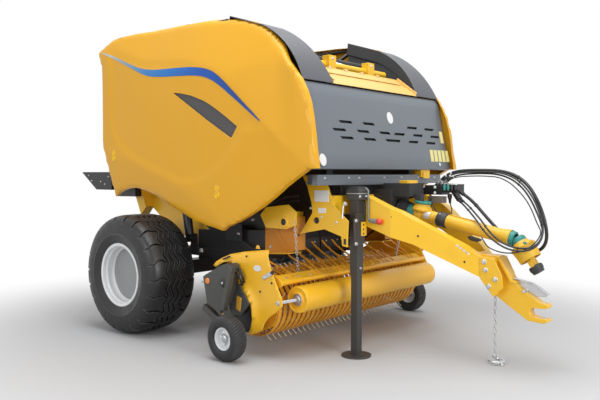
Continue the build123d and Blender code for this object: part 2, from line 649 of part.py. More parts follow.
def shoulder_form(drop, inset):
    """The shoulder panel's form: a curved strip, cut to its leaning edges, down to the depth of its rim."""
    with BuildPart() as form:
        with BuildSketch(Plane.YZ.offset(-1200)) as face:
            with BuildLine():
                trace((shoulder_start[0], shoulder_start[1] - drop), lowered(shoulder_edge, drop))
                end = shoulder_edge[-1]
                Line(*place([(end[0], end[1] - drop), (end[0] + 0.1, end[1] - SHOULDER_DEPTH - drop)]))
                trace(
                    (shoulder_start[0] + 0.1, shoulder_start[1] - SHOULDER_DEPTH - drop),
                    lowered([shoulder_edge[0], (end[0] + 0.1, end[1])], SHOULDER_DEPTH + drop),
                )
                Line(*place([
                    (shoulder_start[0], shoulder_start[1] - drop),
                    (shoulder_start[0] + 0.1, shoulder_start[1] - SHOULDER_DEPTH - drop),
                ]))
            make_face()
        extrude(face.sketch, amount=700)
        edges = [
            (-HOOD_HALF, RIM_BEND_Z, -CREST_X + SEAM_GAP, CREST_Z, 1),
            (-SHOULDER_LOW_X - inset, shoulder_start[1], -SHOULDER_HIGH_X - inset, 2930, -1),
        ]
        for low_x, low_z, high_x, high_z, keep in edges:
            normal = Vector(high_z - low_z, 0, low_x - high_x) * keep
            split(bisect_by=Plane(origin=(low_x, 0, low_z), z_dir=normal), keep=Keep.TOP)
        split(bisect_by=Plane.XY.offset(shoulder_start[1] - 6), keep=Keep.TOP)
    return form.part


with BuildPart() as shoulder:
    add(shoulder_form(0, 0))
    add(shoulder_form(PANEL_SKIN * 1.3, PANEL_SKIN), mode=Mode.SUBTRACT)
save_pair(shoulder, "shoulder_panel")

ROOF_HALF = SHOULDER_LOW_X - 1 - FIT
roof_edge = [(HOOD_TOP[0] + 4, HOOD_TOP[1] + PANEL_SKIN + FIT), (-1870, 2420), (-1620, 2600), (-1560, 2610)]
with BuildPart() as roof_cover:
    plate(
        roof_edge + [(y + 4, z - PANEL_SKIN) for y, z in reversed(roof_edge)],
        -ROOF_HALF, ROOF_HALF,
    )
    for side in (-1, 1):
        block(*across(side, WALL_X + WALL, ROOF_HALF), -1680, -1640, 2300, 2555)
save(roof_cover, "roof_cover")

# ---- tailgate -----------------------------------------------------------------------------------------
gate_outline = [
    (GATE_Y + SPLIT_GAP, GATE_Z - 40), (GATE_Y + 60, GATE_Z + 20), (100, 2760), (350, 2710),
    (600, 2480), (700, 2150),
    (720, 1750), (690, 1400), (560, 1180), (300, 1000), (-60, 860), (-330, 790), (-540, 760), (-590, 800),
    (-590, 850), (GATE_Y, 990),
]
LIGHT_BAR_Y = 755.0         # front face of the bar that carries the rear lights
rib_outline = [
    (450, 2640), (600, 2480), (700, 2150), (720, 1750), (LIGHT_BAR_Y, 1450), (LIGHT_BAR_Y, 1395),
    (611, 1090),
    (520, 1180), (640, 1420), (640, 1750), (620, 2120), (530, 2400),
]
RIB_X = 720.0
ARM_X = 800.0               # gate cylinders' middle plane
CYLINDER_LOW = (-300.0, 900.0)
CYLINDER_HIGH = (0.0, 2550.0)
CYLINDER_PIN_R = 16.0
EYE_HALF = 25.0             # half the width of the cylinders' eyes
with BuildPart() as tailgate_wall:
    outside = -WALL_X - WALL
    plate(gate_outline, outside, -WALL_X)
    plate(rib_outline, -RIB_X, outside)
    cross_rod(GATE_Y, GATE_Z, outside - 14, -WALL_X, HINGE_BOSS_R)
    plate(
        [
            (GATE_Y + SPLIT_GAP, GATE_Z - 40), (GATE_Y + SPLIT_GAP, GATE_Z + 10), (40, 2640),
            (60, 2500), (-60, 2480),
        ],
        outside - 14, outside,
    )
    cross_rod(GATE_Y, GATE_Z, outside - 40, -WALL_X + 60, PIN_R + FIT, Mode.SUBTRACT)
    cross_rod(*CYLINDER_HIGH, -ARM_X + EYE_HALF + FIT, outside, CYLINDER_PIN_R + 22)
save_pair(tailgate_wall, "tailgate_wall")

GATE_BAR = 80.0
with BuildPart() as tailgate_bars:
    for y, z in [(430, 2560), (665, 2050), (665, 1500)]:
        half = GATE_BAR / 2
        block(-WALL_X, WALL_X, y - half, y + half, z - half, z + half)
save(tailgate_bars, "tailgate_bars")

BELT_COUNT, BELT_THICK = 4, 7.0
BELT_PITCH = (2 * WALL_X - 40) / BELT_COUNT
BELT_WIDTH = BELT_PITCH - 20
gate_rollers = [
    (60, 2640, 60), (-120, 2480, 60), (440, 2330, 70), (530, 1780, 70), (470, 1330, 80),
    (-430, 890, 90),
]
with BuildPart() as tailgate_rollers:
    for y, z, radius in gate_rollers:
        cross_rod(y, z, -WALL_X + FIT, WALL_X - FIT, radius)
save(tailgate_rollers, "tailgate_rollers")

BELT_WRAP = [0, 2, 3, 4, 5]     # the rollers that the outer run passes over


def belt_face(gap):
    """One face of the belts' outer run: straight between rollers and round each one, the gap outside it."""
    circles = [gate_rollers[i] for i in BELT_WRAP]
    ends = []
    for (y1, z1, r1), (y2, z2, r2) in zip(circles, circles[1:]):
        heading = atan2(z2 - z1, y2 - y1)
        normal = heading + acos((r1 - r2) / hypot(y2 - y1, z2 - z1))
        pair = []
        for y, z, r in ((y1, z1, r1), (y2, z2, r2)):
            pair.append((y + (r + gap) * cos(normal), z + (r + gap) * sin(normal), normal))
        ends.append(pair)
    points = [ends[0][0][:2]]
    for (y, z, r), before, after in zip(circles[1:], ends, ends[1:]):
        half_turn = (before[1][2] + after[0][2]) / 2
        middle = (y + (r + gap) * cos(half_turn), z + (r + gap) * sin(half_turn))
        points.append(before[1][:2])
        points.append((middle, after[0][:2]))
    return points + [ends[-1][1][:2]]


def reversed_steps(steps):
    """The same outline, drawn the other way."""
    ends = [step[1] if isinstance(step[0], tuple) else step for step in steps]
    back = []
    for i in range(len(steps) - 1, 0, -1):
        back.append((steps[i][0], ends[i - 1]) if isinstance(steps[i][0], tuple) else ends[i - 1])
    return [ends[-1]] + back


with BuildPart() as belts:
    outer = belt_face(FIT + BELT_THICK)
    inner = belt_face(FIT)
    with BuildSketch(Plane.YZ.offset(-BELT_WIDTH / 2)) as run:
        with BuildLine():
            trace(outer[0], outer[1:])
            trace(outer[-1], reversed_steps(inner) + [outer[0]])
        make_face()
    strip = extrude(run.sketch, amount=BELT_WIDTH, mode=Mode.PRIVATE)
    with Locations(*[((i - (BELT_COUNT - 1) / 2) * BELT_PITCH, 0, 0) for i in range(BELT_COUNT)]):
        add(strip)
save(belts, "belts")

LIGHT_X = 965.0
light_outline = [(720, 1550), (1340, 1550), (1340, 1450), (1250, 1360), (790, 1360), (720, 1420)]
with BuildPart() as light_bar:
    for side in (-1, 1):
        plate(light_outline, *across(side, LIGHT_X - 35, LIGHT_X + 35))
    block(-LIGHT_X, LIGHT_X, LIGHT_BAR_Y, LIGHT_BAR_Y + 60, 1390, 1450)
save(light_bar, "light_bar")

cylinder_low = Vector(-ARM_X, *CYLINDER_LOW)
cylinder_high = Vector(-ARM_X, *CYLINDER_HIGH)
cylinder_along = (cylinder_high - cylinder_low).normalized()
CYLINDER_LENGTH = (cylinder_high - cylinder_low).length
BARREL_R, BARREL_BORE, ROD_R = 45.0, 38.0, 25.0


def on_cylinder(distance):
    """A point on the right-hand gate cylinder's axis, from its lower pin."""
    point = cylinder_low + cylinder_along * distance
    return (point.X, point.Y, point.Z)


BARREL_TOP = CYLINDER_LENGTH - 90
BRACKET_X = ARM_X - BARREL_R - RUN - 2
with BuildPart() as cylinder_bracket:
    low_y, low_z = CYLINDER_LOW
    rail_top = RAIL_Z + RAIL_HEIGHT
    plate(
        [(low_y - 60, rail_top), (low_y + 60, rail_top), (low_y + 38, low_z + 40),
        (low_y - 38, low_z + 40)],
        -BRACKET_X, -BRACKET_X + PLATE,
    )
    block(-BRACKET_X, -RAIL_X, low_y - 60, low_y + 60, RAIL_Z + 5, rail_top)
    cross_rod(low_y, low_z, -ARM_X - EYE_HALF - 6, -BRACKET_X, CYLINDER_PIN_R)
    cross_rod(low_y, low_z, -ARM_X + EYE_HALF + FIT, -BRACKET_X, CYLINDER_PIN_R + 8)
save_pair(cylinder_bracket, "cylinder_bracket")

with BuildPart() as gate_barrel:
    rod(on_cylinder(32), on_cylinder(BARREL_TOP), BARREL_R)
    rod(on_cylinder(60), on_cylinder(BARREL_TOP - 30), BARREL_BORE, Mode.SUBTRACT)
    rod(on_cylinder(100), on_cylinder(BARREL_TOP + 1), ROD_R + FIT, Mode.SUBTRACT)
    cross_rod(*CYLINDER_LOW, -ARM_X - EYE_HALF, -ARM_X + EYE_HALF, CYLINDER_PIN_R + 26)
    cross_rod(
        *CYLINDER_LOW, -ARM_X - EYE_HALF - 1, -ARM_X + EYE_HALF + 1, CYLINDER_PIN_R + FIT, Mode.SUBTRACT,
    )
save_pair(gate_barrel, "gate_barrel")

with BuildPart() as gate_rod:
    rod(on_cylinder(CYLINDER_LENGTH - 700), on_cylinder(CYLINDER_LENGTH - 30), ROD_R)
    cross_rod(*CYLINDER_HIGH, -ARM_X - EYE_HALF, -ARM_X + EYE_HALF, CYLINDER_PIN_R + 24)
    cross_rod(*CYLINDER_HIGH, -ARM_X - EYE_HALF - 6, -ARM_X, CYLINDER_PIN_R)
save_pair(gate_rod, "gate_rod")

# ---- pickup -------------------------------------------------------------------------------------------
SIDE_X = PICKUP_PLATE_X     # inner side plates, inside face
PICKUP_TUBE = (-1100.0, 320.0)
PICKUP_TUBE_R = 40.0
SPACER_R = 16.0             # rods between the side plates and the outer shields
REEL_AXLE_R = 25.0
ARM_IN, ARM_THICK = WALL_X + WALL + 10, 16.0
side_outline = [
    (-1070, 260), (-1040, 700), (-1340, 850), (-1460, 850), (-1600, 720), (-1760, 470),
    (-1700, 270), (-1500, 175),
    (-1250, 200),
]
with BuildPart() as pickup_frame:
    for side in (-1, 1):
        plate(side_outline, *across(side, SIDE_X, SIDE_X + SHIELD_SHEET))
        arm = [
            (PICKUP_TUBE[0] - 36, PICKUP_TUBE[1] - 20), (LIFT_Y - 60, LIFT_Z + 25), (LIFT_Y, LIFT_Z + 55),
            (LIFT_Y + 50, LIFT_Z + 10), (PICKUP_TUBE[0] + 60, PICKUP_TUBE[1] - 20),
        ]
        plate(arm, *across(side, ARM_IN, ARM_IN + ARM_THICK))
        cross_rod(
            GUARD_PIVOT_Y, GUARD_PIVOT_Z, *across(side, SIDE_X + SHIELD_SHEET, SHIELD_X), GUARD_PIVOT_R,
        )
        for y, z in ((-1180, 640), (-1620, 330)):
            cross_rod(y, z, *across(side, SIDE_X + SHIELD_SHEET, SHIELD_X), SPACER_R)
    cross_rod(*PICKUP_TUBE, -SIDE_X, SIDE_X, PICKUP_TUBE_R)
    cross_rod(*rotor_pivot, -SIDE_X, SIDE_X, PIN_R + FIT, Mode.SUBTRACT)
    cross_rod(REEL_Y, REEL_Z, -SIDE_X - 20, SIDE_X + 20, REEL_AXLE_R + FIT, Mode.SUBTRACT)
save(pickup_frame, "pickup_frame")

BAND_COUNT = TINE_COUNT + 1
BAR_Y, BAR_Z = REEL_Y + 258, REEL_Z + 240


def band_side(radius, inset):
    """One face of a stripper band: over the reel's front, with a tail back to each bar."""
    top = (REEL_Y + 40, REEL_Z + (radius**2 - 40**2) ** 0.5)
    low = (REEL_Y + 90, REEL_Z - (radius**2 - 90**2) ** 0.5)
    upper_tail = (BAR_Y, BAR_Z - inset)
    lower_tail = (PICKUP_TUBE[0] - PICKUP_TUBE_R - 4, PICKUP_TUBE[1] - 24 + inset)
    return upper_tail, top, (REEL_Y - radius, REEL_Z), low, lower_tail


with BuildPart() as stripper_bands:
    outer = band_side(BAND_R, 0)
    inner = band_side(BAND_R - BAND_THICK, BAND_THICK)
    with BuildSketch(Plane.YZ.offset(-BAND_WIDTH / 2)) as band:
        with BuildLine():
            trace(outer[0], [outer[1], (outer[2], outer[3]), outer[4]])
            trace(outer[4], [inner[4], inner[3], (inner[2], inner[1]), inner[0], outer[0]])
        make_face()
    strip = extrude(band.sketch, amount=BAND_WIDTH, mode=Mode.PRIVATE)
    with Locations(*[((i - (BAND_COUNT - 1) / 2) * TINE_PITCH, 0, 0) for i in range(BAND_COUNT)]):
        add(strip)
    block(-SIDE_X + FIT, SIDE_X - FIT, BAR_Y - 5, BAR_Y + 20, BAR_Z - 10, BAR_Z + 10)
    tail_y = PICKUP_TUBE[0] - PICKUP_TUBE_R
    block(-SIDE_X + FIT, SIDE_X - FIT, tail_y - 12, tail_y - FIT, PICKUP_TUBE[1] - 26, PICKUP_TUBE[1] + 2)
save(stripper_bands, "stripper_bands")

with BuildPart() as pickup_reel:
    cross_rod(REEL_Y, REEL_Z, -SIDE_X + 20, SIDE_X - 20, REEL_TUBE_R)
    cross_rod(REEL_Y, REEL_Z, -SIDE_X - 6, SIDE_X + 6, REEL_AXLE_R)
    for x in (-SIDE_X + 20, -SIDE_X * 0.34, SIDE_X * 0.34, SIDE_X - 30):
        cross_rod(REEL_Y, REEL_Z, x, x + 10, TINE_BAR_ORBIT + 20)
    for k in range(TINE_BAR_COUNT):
        turn = radians(20 + 360 * k / TINE_BAR_COUNT)
        bar_y, bar_z = REEL_Y + TINE_BAR_ORBIT * cos(turn), REEL_Z + TINE_BAR_ORBIT * sin(turn)
        tip_y, tip_z = REEL_Y + TINE_TIP_R * cos(turn), REEL_Z + TINE_TIP_R * sin(turn)
        cross_rod(bar_y, bar_z, -SIDE_X + 20, SIDE_X - 20, TINE_BAR_R)
        with BuildPart(mode=Mode.PRIVATE) as tine:
            rod((0, bar_y, bar_z), (0, tip_y, tip_z), TINE_R)
        with Locations(*[((i - (TINE_COUNT - 1) / 2) * TINE_PITCH, 0, 0) for i in range(TINE_COUNT)]):
            add(tine.part)
save(pickup_reel, "pickup_reel")

shield_start = (-1040, 716)
shield_edge = [
    (-1130, 797), (-1530, 900), (-1710, 912), (-1870, 500), (-1940, 440), ((-1760, 290), (-1530, 226)),
    (-1290, 290), (-1080, 430), (-1040, 716),
]
with BuildPart() as pickup_shield:
    with BuildSketch(Plane.YZ.offset(-SHIELD_X - SHIELD_SHEET)) as face:
        with BuildLine():
            trace(shield_start, shield_edge)
        make_face()
    extrude(face.sketch, amount=SHIELD_SHEET)
save_pair(pickup_shield, "pickup_shield")

END_BOX_X = 1300.0
box_outline = [
    (-1050, 646), (-1380, 776), (-1490, 730), (-1680, 480), (-1640, 300), (-1280, 345),
    (-1115, 400),
]
with BuildPart() as end_box:
    plate(box_outline, -END_BOX_X, -SHIELD_X - SHIELD_SHEET)
    with BuildSketch(Plane.YZ.offset(-END_BOX_X + PANEL_SKIN)) as pocket:
        with BuildLine():
            Polyline(*place(box_outline), close=True)
        make_face()
        offset(amount=-PANEL_SKIN, kind=Kind.INTERSECTION)
    extrude(pocket.sketch, amount=END_BOX_X - SHIELD_X - SHIELD_SHEET - 2 * PANEL_SKIN, mode=Mode.SUBTRACT)
save_pair(end_box, "end_box")

ARM_SIZE = 44.0
with BuildPart() as gauge_arm:
    beam(
        (-END_BOX_X - ARM_SIZE / 2, -1440, 700), (-END_BOX_X - ARM_SIZE / 2, -1350, 400), ARM_SIZE, ARM_SIZE,
    )
    plate(
        [(-1395, 440), (-1320, 440), (-1340, 380), (GAUGE_Y + 40, GAUGE_R - 25),
        (GAUGE_Y - 30, GAUGE_R - 25)],
        -END_BOX_X - 14, -END_BOX_X - 2,
    )
    cross_rod(GAUGE_Y, GAUGE_R, -GAUGE_X - 40, -END_BOX_X - 2, GAUGE_AXLE_R)
save_pair(gauge_arm, "gauge_arm")

GAUGE_RIM_HALF = 45.0
with BuildPart() as gauge_tyre:
    half = GAUGE_WIDTH / 2
    inner = GAUGE_RIM_HALF
    ring(
        [
            (-GAUGE_X - inner, GAUGE_BEAD_R), (-GAUGE_X - inner, GAUGE_BEAD_R + 10),
            (-GAUGE_X - half + 8, GAUGE_BEAD_R + 20), (-GAUGE_X - half, GAUGE_R - 50),
            (-GAUGE_X - half + 18, GAUGE_R - 14), (-GAUGE_X - half + 42, GAUGE_R),
            (-GAUGE_X + half - 42, GAUGE_R),
            (-GAUGE_X + half - 18, GAUGE_R - 14), (-GAUGE_X + half, GAUGE_R - 50),
            (-GAUGE_X + half - 8, GAUGE_BEAD_R + 20), (-GAUGE_X + inner, GAUGE_BEAD_R + 10),
            (-GAUGE_X + inner, GAUGE_BEAD_R),
        ],
        GAUGE_Y, GAUGE_R,
    )
save_pair(gauge_tyre, "gauge_tyre")

with BuildPart() as gauge_rim:
    inner = GAUGE_RIM_HALF
    bore = GAUGE_AXLE_R + FIT
    bead = GAUGE_BEAD_R
    ring(
        [
            (-GAUGE_X - inner - 5, bead - 6), (-GAUGE_X - inner - 5, bead + 8),
            (-GAUGE_X - inner, bead + 8),
            (-GAUGE_X - inner, bead), (-GAUGE_X + inner, bead), (-GAUGE_X + inner, bead + 8),
            (-GAUGE_X + inner + 5, bead + 8), (-GAUGE_X + inner + 5, bead - 6), (-GAUGE_X + 4, bead - 6),
            (-GAUGE_X + 4, bore + 18), (-GAUGE_X + 34, bore + 18), (-GAUGE_X + 34, bore),
            (-GAUGE_X - 34, bore),
            (-GAUGE_X - 34, bore + 18), (-GAUGE_X - 4, bore + 18), (-GAUGE_X - 4, bead - 6),
        ],
        GAUGE_Y, GAUGE_R,
    )
save_pair(gauge_rim, "gauge_rim")

# ---- windguard ----------------------------------------------------------------------------------------
GUARD_ARM_X = 1108.0
GUARD_ARM = 10.0
GUARD_STUB_R = 16.0
FINGER_R = 7.0
FINGER_PITCH = 150.0
FINGER_COUNT = 13
FINGER_BEND, FINGER_TIP = (-1560.0, 765.0), (-1330.0, 748.0)
with BuildPart() as windguard:
    cross_rod(GUARD_TUBE_Y, GUARD_TUBE_Z, -GUARD_ARM_X, GUARD_ARM_X, GUARD_TUBE_R)
    for side in (-1, 1):
        plate(
            [
                (GUARD_PIVOT_Y + 25, GUARD_PIVOT_Z - 30), (GUARD_PIVOT_Y + 20, GUARD_PIVOT_Z + 30),
                (GUARD_PIVOT_Y - 60, GUARD_PIVOT_Z + 20), (GUARD_TUBE_Y - 20, GUARD_TUBE_Z + 40),
                (GUARD_TUBE_Y - 45, GUARD_TUBE_Z - 5), (ROLLER_Y - 35, ROLLER_Z + 5),
                (ROLLER_Y - 15, ROLLER_Z - 35),
                (ROLLER_Y + 40, ROLLER_Z - 20), (GUARD_TUBE_Y + 40, GUARD_TUBE_Z - 30),
            ],
            *across(side, GUARD_ARM_X, GUARD_ARM_X + GUARD_ARM),
        )
        cross_rod(ROLLER_Y, ROLLER_Z, *across(side, ROLLER_HALF - 40, GUARD_ARM_X), GUARD_STUB_R)
        bore = across(side, GUARD_ARM_X - 5, GUARD_ARM_X + 20)
        cross_rod(GUARD_PIVOT_Y, GUARD_PIVOT_Z, *bore, GUARD_PIVOT_R + FIT, Mode.SUBTRACT)
    with BuildPart(mode=Mode.PRIVATE) as finger:
        rod((0, GUARD_TUBE_Y, GUARD_TUBE_Z), (0, *FINGER_BEND), FINGER_R)
        rod((0, *FINGER_BEND), (0, *FINGER_TIP), FINGER_R)
        with Locations((0, AXLE_Y + FINGER_BEND[0], FINGER_BEND[1])):
            Sphere(FINGER_R)
    with Locations(*[((i - (FINGER_COUNT - 1) / 2) * FINGER_PITCH, 0, 0) for i in range(FINGER_COUNT)]):
        add(finger.part)
save(windguard, "windguard")

with BuildPart() as windguard_roller:
    cross_rod(ROLLER_Y, ROLLER_Z, -ROLLER_HALF, ROLLER_HALF, ROLLER_R)
    cross_rod(ROLLER_Y, ROLLER_Z, -ROLLER_HALF, -ROLLER_HALF + 60, GUARD_STUB_R + FIT, Mode.SUBTRACT)
    cross_rod(ROLLER_Y, ROLLER_Z, ROLLER_HALF - 60, ROLLER_HALF, GUARD_STUB_R + FIT, Mode.SUBTRACT)
save(windguard_roller, "windguard_roller")

# ---- feed rotor ---------------------------------------------------------------------------------------
ROTOR_R = 200.0
STAR_COUNT, STAR_THICK = 11, 10.0
STAR_PITCH = (2 * WALL_X - 200) / (STAR_COUNT - 1)
with BuildPart() as feed_rotor:
    cross_rod(*rotor_pivot, -WALL_X + FIT, WALL_X - FIT, 70)
    for i in range(STAR_COUNT):
        x = (i - (STAR_COUNT - 1) / 2) * STAR_PITCH
        points = []
        for k in range(8):
            turn = radians(45 * k + 22 * i)
            reach = ROTOR_R if k % 2 == 0 else 75
            points.append((LIFT_Y + reach * cos(turn), LIFT_Z + reach * sin(turn)))
        plate(points, x - STAR_THICK / 2, x + STAR_THICK / 2)
save(feed_rotor, "feed_rotor")

# ---- safety chain -------------------------------------------------------------------------------------
CHAIN_Y = -3142.0
with BuildPart() as safety_chain:
    with Locations((0, AXLE_Y + CHAIN_Y, 14)):
        Cylinder(12, 518 - 14, align=(Align.CENTER, Align.CENTER, Align.MIN))
    with Locations((0, AXLE_Y + CHAIN_Y, 0)):
        Cylinder(60, 30, align=(Align.CENTER, Align.CENTER, Align.MIN))
    block(-15, 15, HEAD_Y, CHAIN_Y + 12, 500, 518)
save(safety_chain, "safety_chain")

# ---- hose tubes ---------------------------------------------------------------------------------------
ARC_SHARE = 0.45            # share of the shorter run beside a point that its arc takes up


def arc_radii(points):
    """The arc at each inner point of a route, as large as the runs beside it allow."""
    radii = []
    for before, here, after in zip(points, points[1:], points[2:]):
        turn = radians((here - before).get_angle(after - here))
        radii.append(ARC_SHARE * min((here - before).length, (after - here).length) / tan(turn / 2))
    return radii


for name, diameter, first_reach, last_reach, route in hoses:
    points = [Vector(x, AXLE_Y + y, z) for x, y, z in route]
    radii = arc_radii(points)
    with BuildPart() as hose:
        with BuildLine() as line:
            FilletPolyline(*points, radius=radii)
        with BuildSketch(Plane(origin=points[0], z_dir=points[1] - points[0])):
            Circle(diameter / 2)
        sweep(path=line.wire())
    save(hose, name)
    length = line.wire().length
    share = hose.part.volume / (length * pi * diameter**2 / 4)
    print(f"{name}: {length:.0f} mm long, {share:.3f} of its section times its length; arc radii")
    print("   ", *(round(radius) for radius in radii))

print("parts written")
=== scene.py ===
from math import atan2, cos, hypot, pi, radians, sin

import bmesh
import bpy
from mathutils import Matrix, Vector


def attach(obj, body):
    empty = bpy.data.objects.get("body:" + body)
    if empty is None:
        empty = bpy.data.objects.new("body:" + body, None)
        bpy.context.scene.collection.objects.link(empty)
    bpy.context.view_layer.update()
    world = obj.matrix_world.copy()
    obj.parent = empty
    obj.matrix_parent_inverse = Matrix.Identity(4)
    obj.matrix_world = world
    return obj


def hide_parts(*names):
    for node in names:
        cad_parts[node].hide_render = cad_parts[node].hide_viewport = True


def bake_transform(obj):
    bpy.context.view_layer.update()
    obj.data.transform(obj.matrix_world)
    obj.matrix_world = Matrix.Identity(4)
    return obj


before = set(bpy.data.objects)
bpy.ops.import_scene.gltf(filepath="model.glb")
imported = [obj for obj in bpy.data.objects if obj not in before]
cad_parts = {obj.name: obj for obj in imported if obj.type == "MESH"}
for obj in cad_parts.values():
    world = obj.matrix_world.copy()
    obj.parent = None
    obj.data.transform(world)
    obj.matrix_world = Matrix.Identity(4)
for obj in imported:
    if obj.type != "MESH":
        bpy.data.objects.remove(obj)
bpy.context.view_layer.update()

# ---- studio ----------------------------------------------------------
# A pale floor that runs out to white, a white surround, one broad soft lamp overhead and two soft fills.
# The camera stands ahead of the machine on its right, at about a person's height.
scene = bpy.context.scene
scene.view_settings.view_transform = "Standard"


def placed(name, data):
    """A new object in the scene, made from its data."""
    made = bpy.data.objects.new(name, data)
    scene.collection.objects.link(made)
    return made


camera = placed("camera", bpy.data.cameras.new("camera"))
camera.data.sensor_width = 36
camera.data.lens = 41.39
camera.location = (-5.2124, -4.4686, 1.5389)
camera.rotation_euler = (radians(90 - 2.236), 0, radians(-48.904))
scene.camera = camera


def soft_lamp(name, place, target, size, power):
    """A square soft box, turned to face a point."""
    lamp = placed(name, bpy.data.lights.new(name, "AREA"))
    lamp.data.size = size
    lamp.data.energy = power
    lamp.location = place
    lamp.rotation_euler = (Vector(target) - Vector(place)).to_track_quat("-Z", "Y").to_euler()


soft_lamp("overhead", (-0.5, -0.8, 6.5), (0, 0, 0.8), 5.0, 320)
soft_lamp("front_fill", (-2.5, -8.5, 3.4), (-0.3, -1, 1), 3.5, 290)
soft_lamp("side_fill", (-8.5, 0.5, 3.8), (0, 0, 1.2), 3.5, 152)


def set_inputs(node, values):
    """Sets a node's plain input values."""
    for name, value in dict(values).items():
        node.inputs[name].default_value = value


def add_node(tree, kind, settings=(), values=(), links=()):
    """A node with its settings, its plain input values and its links from other sockets."""
    node = tree.nodes.new("ShaderNode" + kind)
    for name, value in dict(settings).items():
        setattr(node, name, value)
    set_inputs(node, values)
    for name, source in dict(links).items():
        tree.links.new(source, node.inputs[name])
    return node


def seen_directly(tree):
    """1 for what the camera sees, straight or in gloss or glass, and 0 for light that reaches the object."""
    rays = add_node(tree, "LightPath").outputs
    either = add_node(
        tree, "Math", {"operation": "MAXIMUM"}, links={0: rays["Is Camera Ray"], 1: rays["Is Glossy Ray"]},
    )
    any_ray = add_node(
        tree, "Math", {"operation": "MAXIMUM"}, links={0: either.outputs[0], 1: rays["Is Transmission Ray"]},
    )
    return any_ray.outputs[0]


WHITE = (1, 1, 1, 1)
world = bpy.data.worlds.new("surround")
world.use_nodes = True
scene.world = world
sky = world.node_tree
sky_light = sky.nodes["Background"]
set_inputs(sky_light, {"Color": WHITE, "Strength": 0.5})
sky_white = add_node(sky, "Background", values={"Color": WHITE, "Strength": 1.0})
sky_mix = add_node(
    sky, "MixShader", links={0: seen_directly(sky), 1: sky_light.outputs[0], 2: sky_white.outputs[0]},
)
sky.links.new(sky_mix.outputs[0], sky.nodes["World Output"].inputs["Surface"])


def meshed(name, shape):
    """The mesh of a finished shape, which is then let go."""
    mesh = bpy.data.meshes.new(name)
    shape.to_mesh(mesh)
    shape.free()
    return mesh


def object_place(tree):
    """Places as measured in the object's own frame."""
    return add_node(tree, "TexCoord").outputs["Object"]


FLOOR_HALF = 40.0
FADE_FROM, FADE_TO = 2.1, 5.0       # distances from the middle between which the floor turns white
floor_shape = bmesh.new()
bmesh.ops.create_grid(floor_shape, x_segments=1, y_segments=1, size=FLOOR_HALF)
floor = placed("floor", meshed("floor", floor_shape))
floor_coat = bpy.data.materials.new("pale_floor")
floor_coat.use_nodes = True
tree = floor_coat.node_tree
shade = tree.nodes["Principled BSDF"]
set_inputs(shade, {"Base Color": (0.53, 0.534, 0.545, 1), "Roughness": 0.9, "Specular IOR Level": 0.1})
glow = add_node(tree, "Emission", values={"Strength": 1.0})
reach = add_node(tree, "VectorMath", {"operation": "LENGTH"}, links={0: object_place(tree)})
fade = add_node(
    tree, "MapRange", {"interpolation_type": "SMOOTHSTEP"},
    {"From Min": FADE_FROM, "From Max": FADE_TO, "To Min": 0.0}, {"Value": reach.outputs["Value"]},
)
to_white = add_node(
    tree, "Math", {"operation": "MULTIPLY"}, links={0: fade.outputs[0], 1: seen_directly(tree)},
)
blend = add_node(
    tree, "MixShader", links={0: to_white.outputs[0], 1: shade.outputs[0], 2: glow.outputs[0]},
)
tree.links.new(blend.outputs[0], tree.nodes["Material Output"].inputs["Surface"])
floor.data.materials.append(floor_coat)

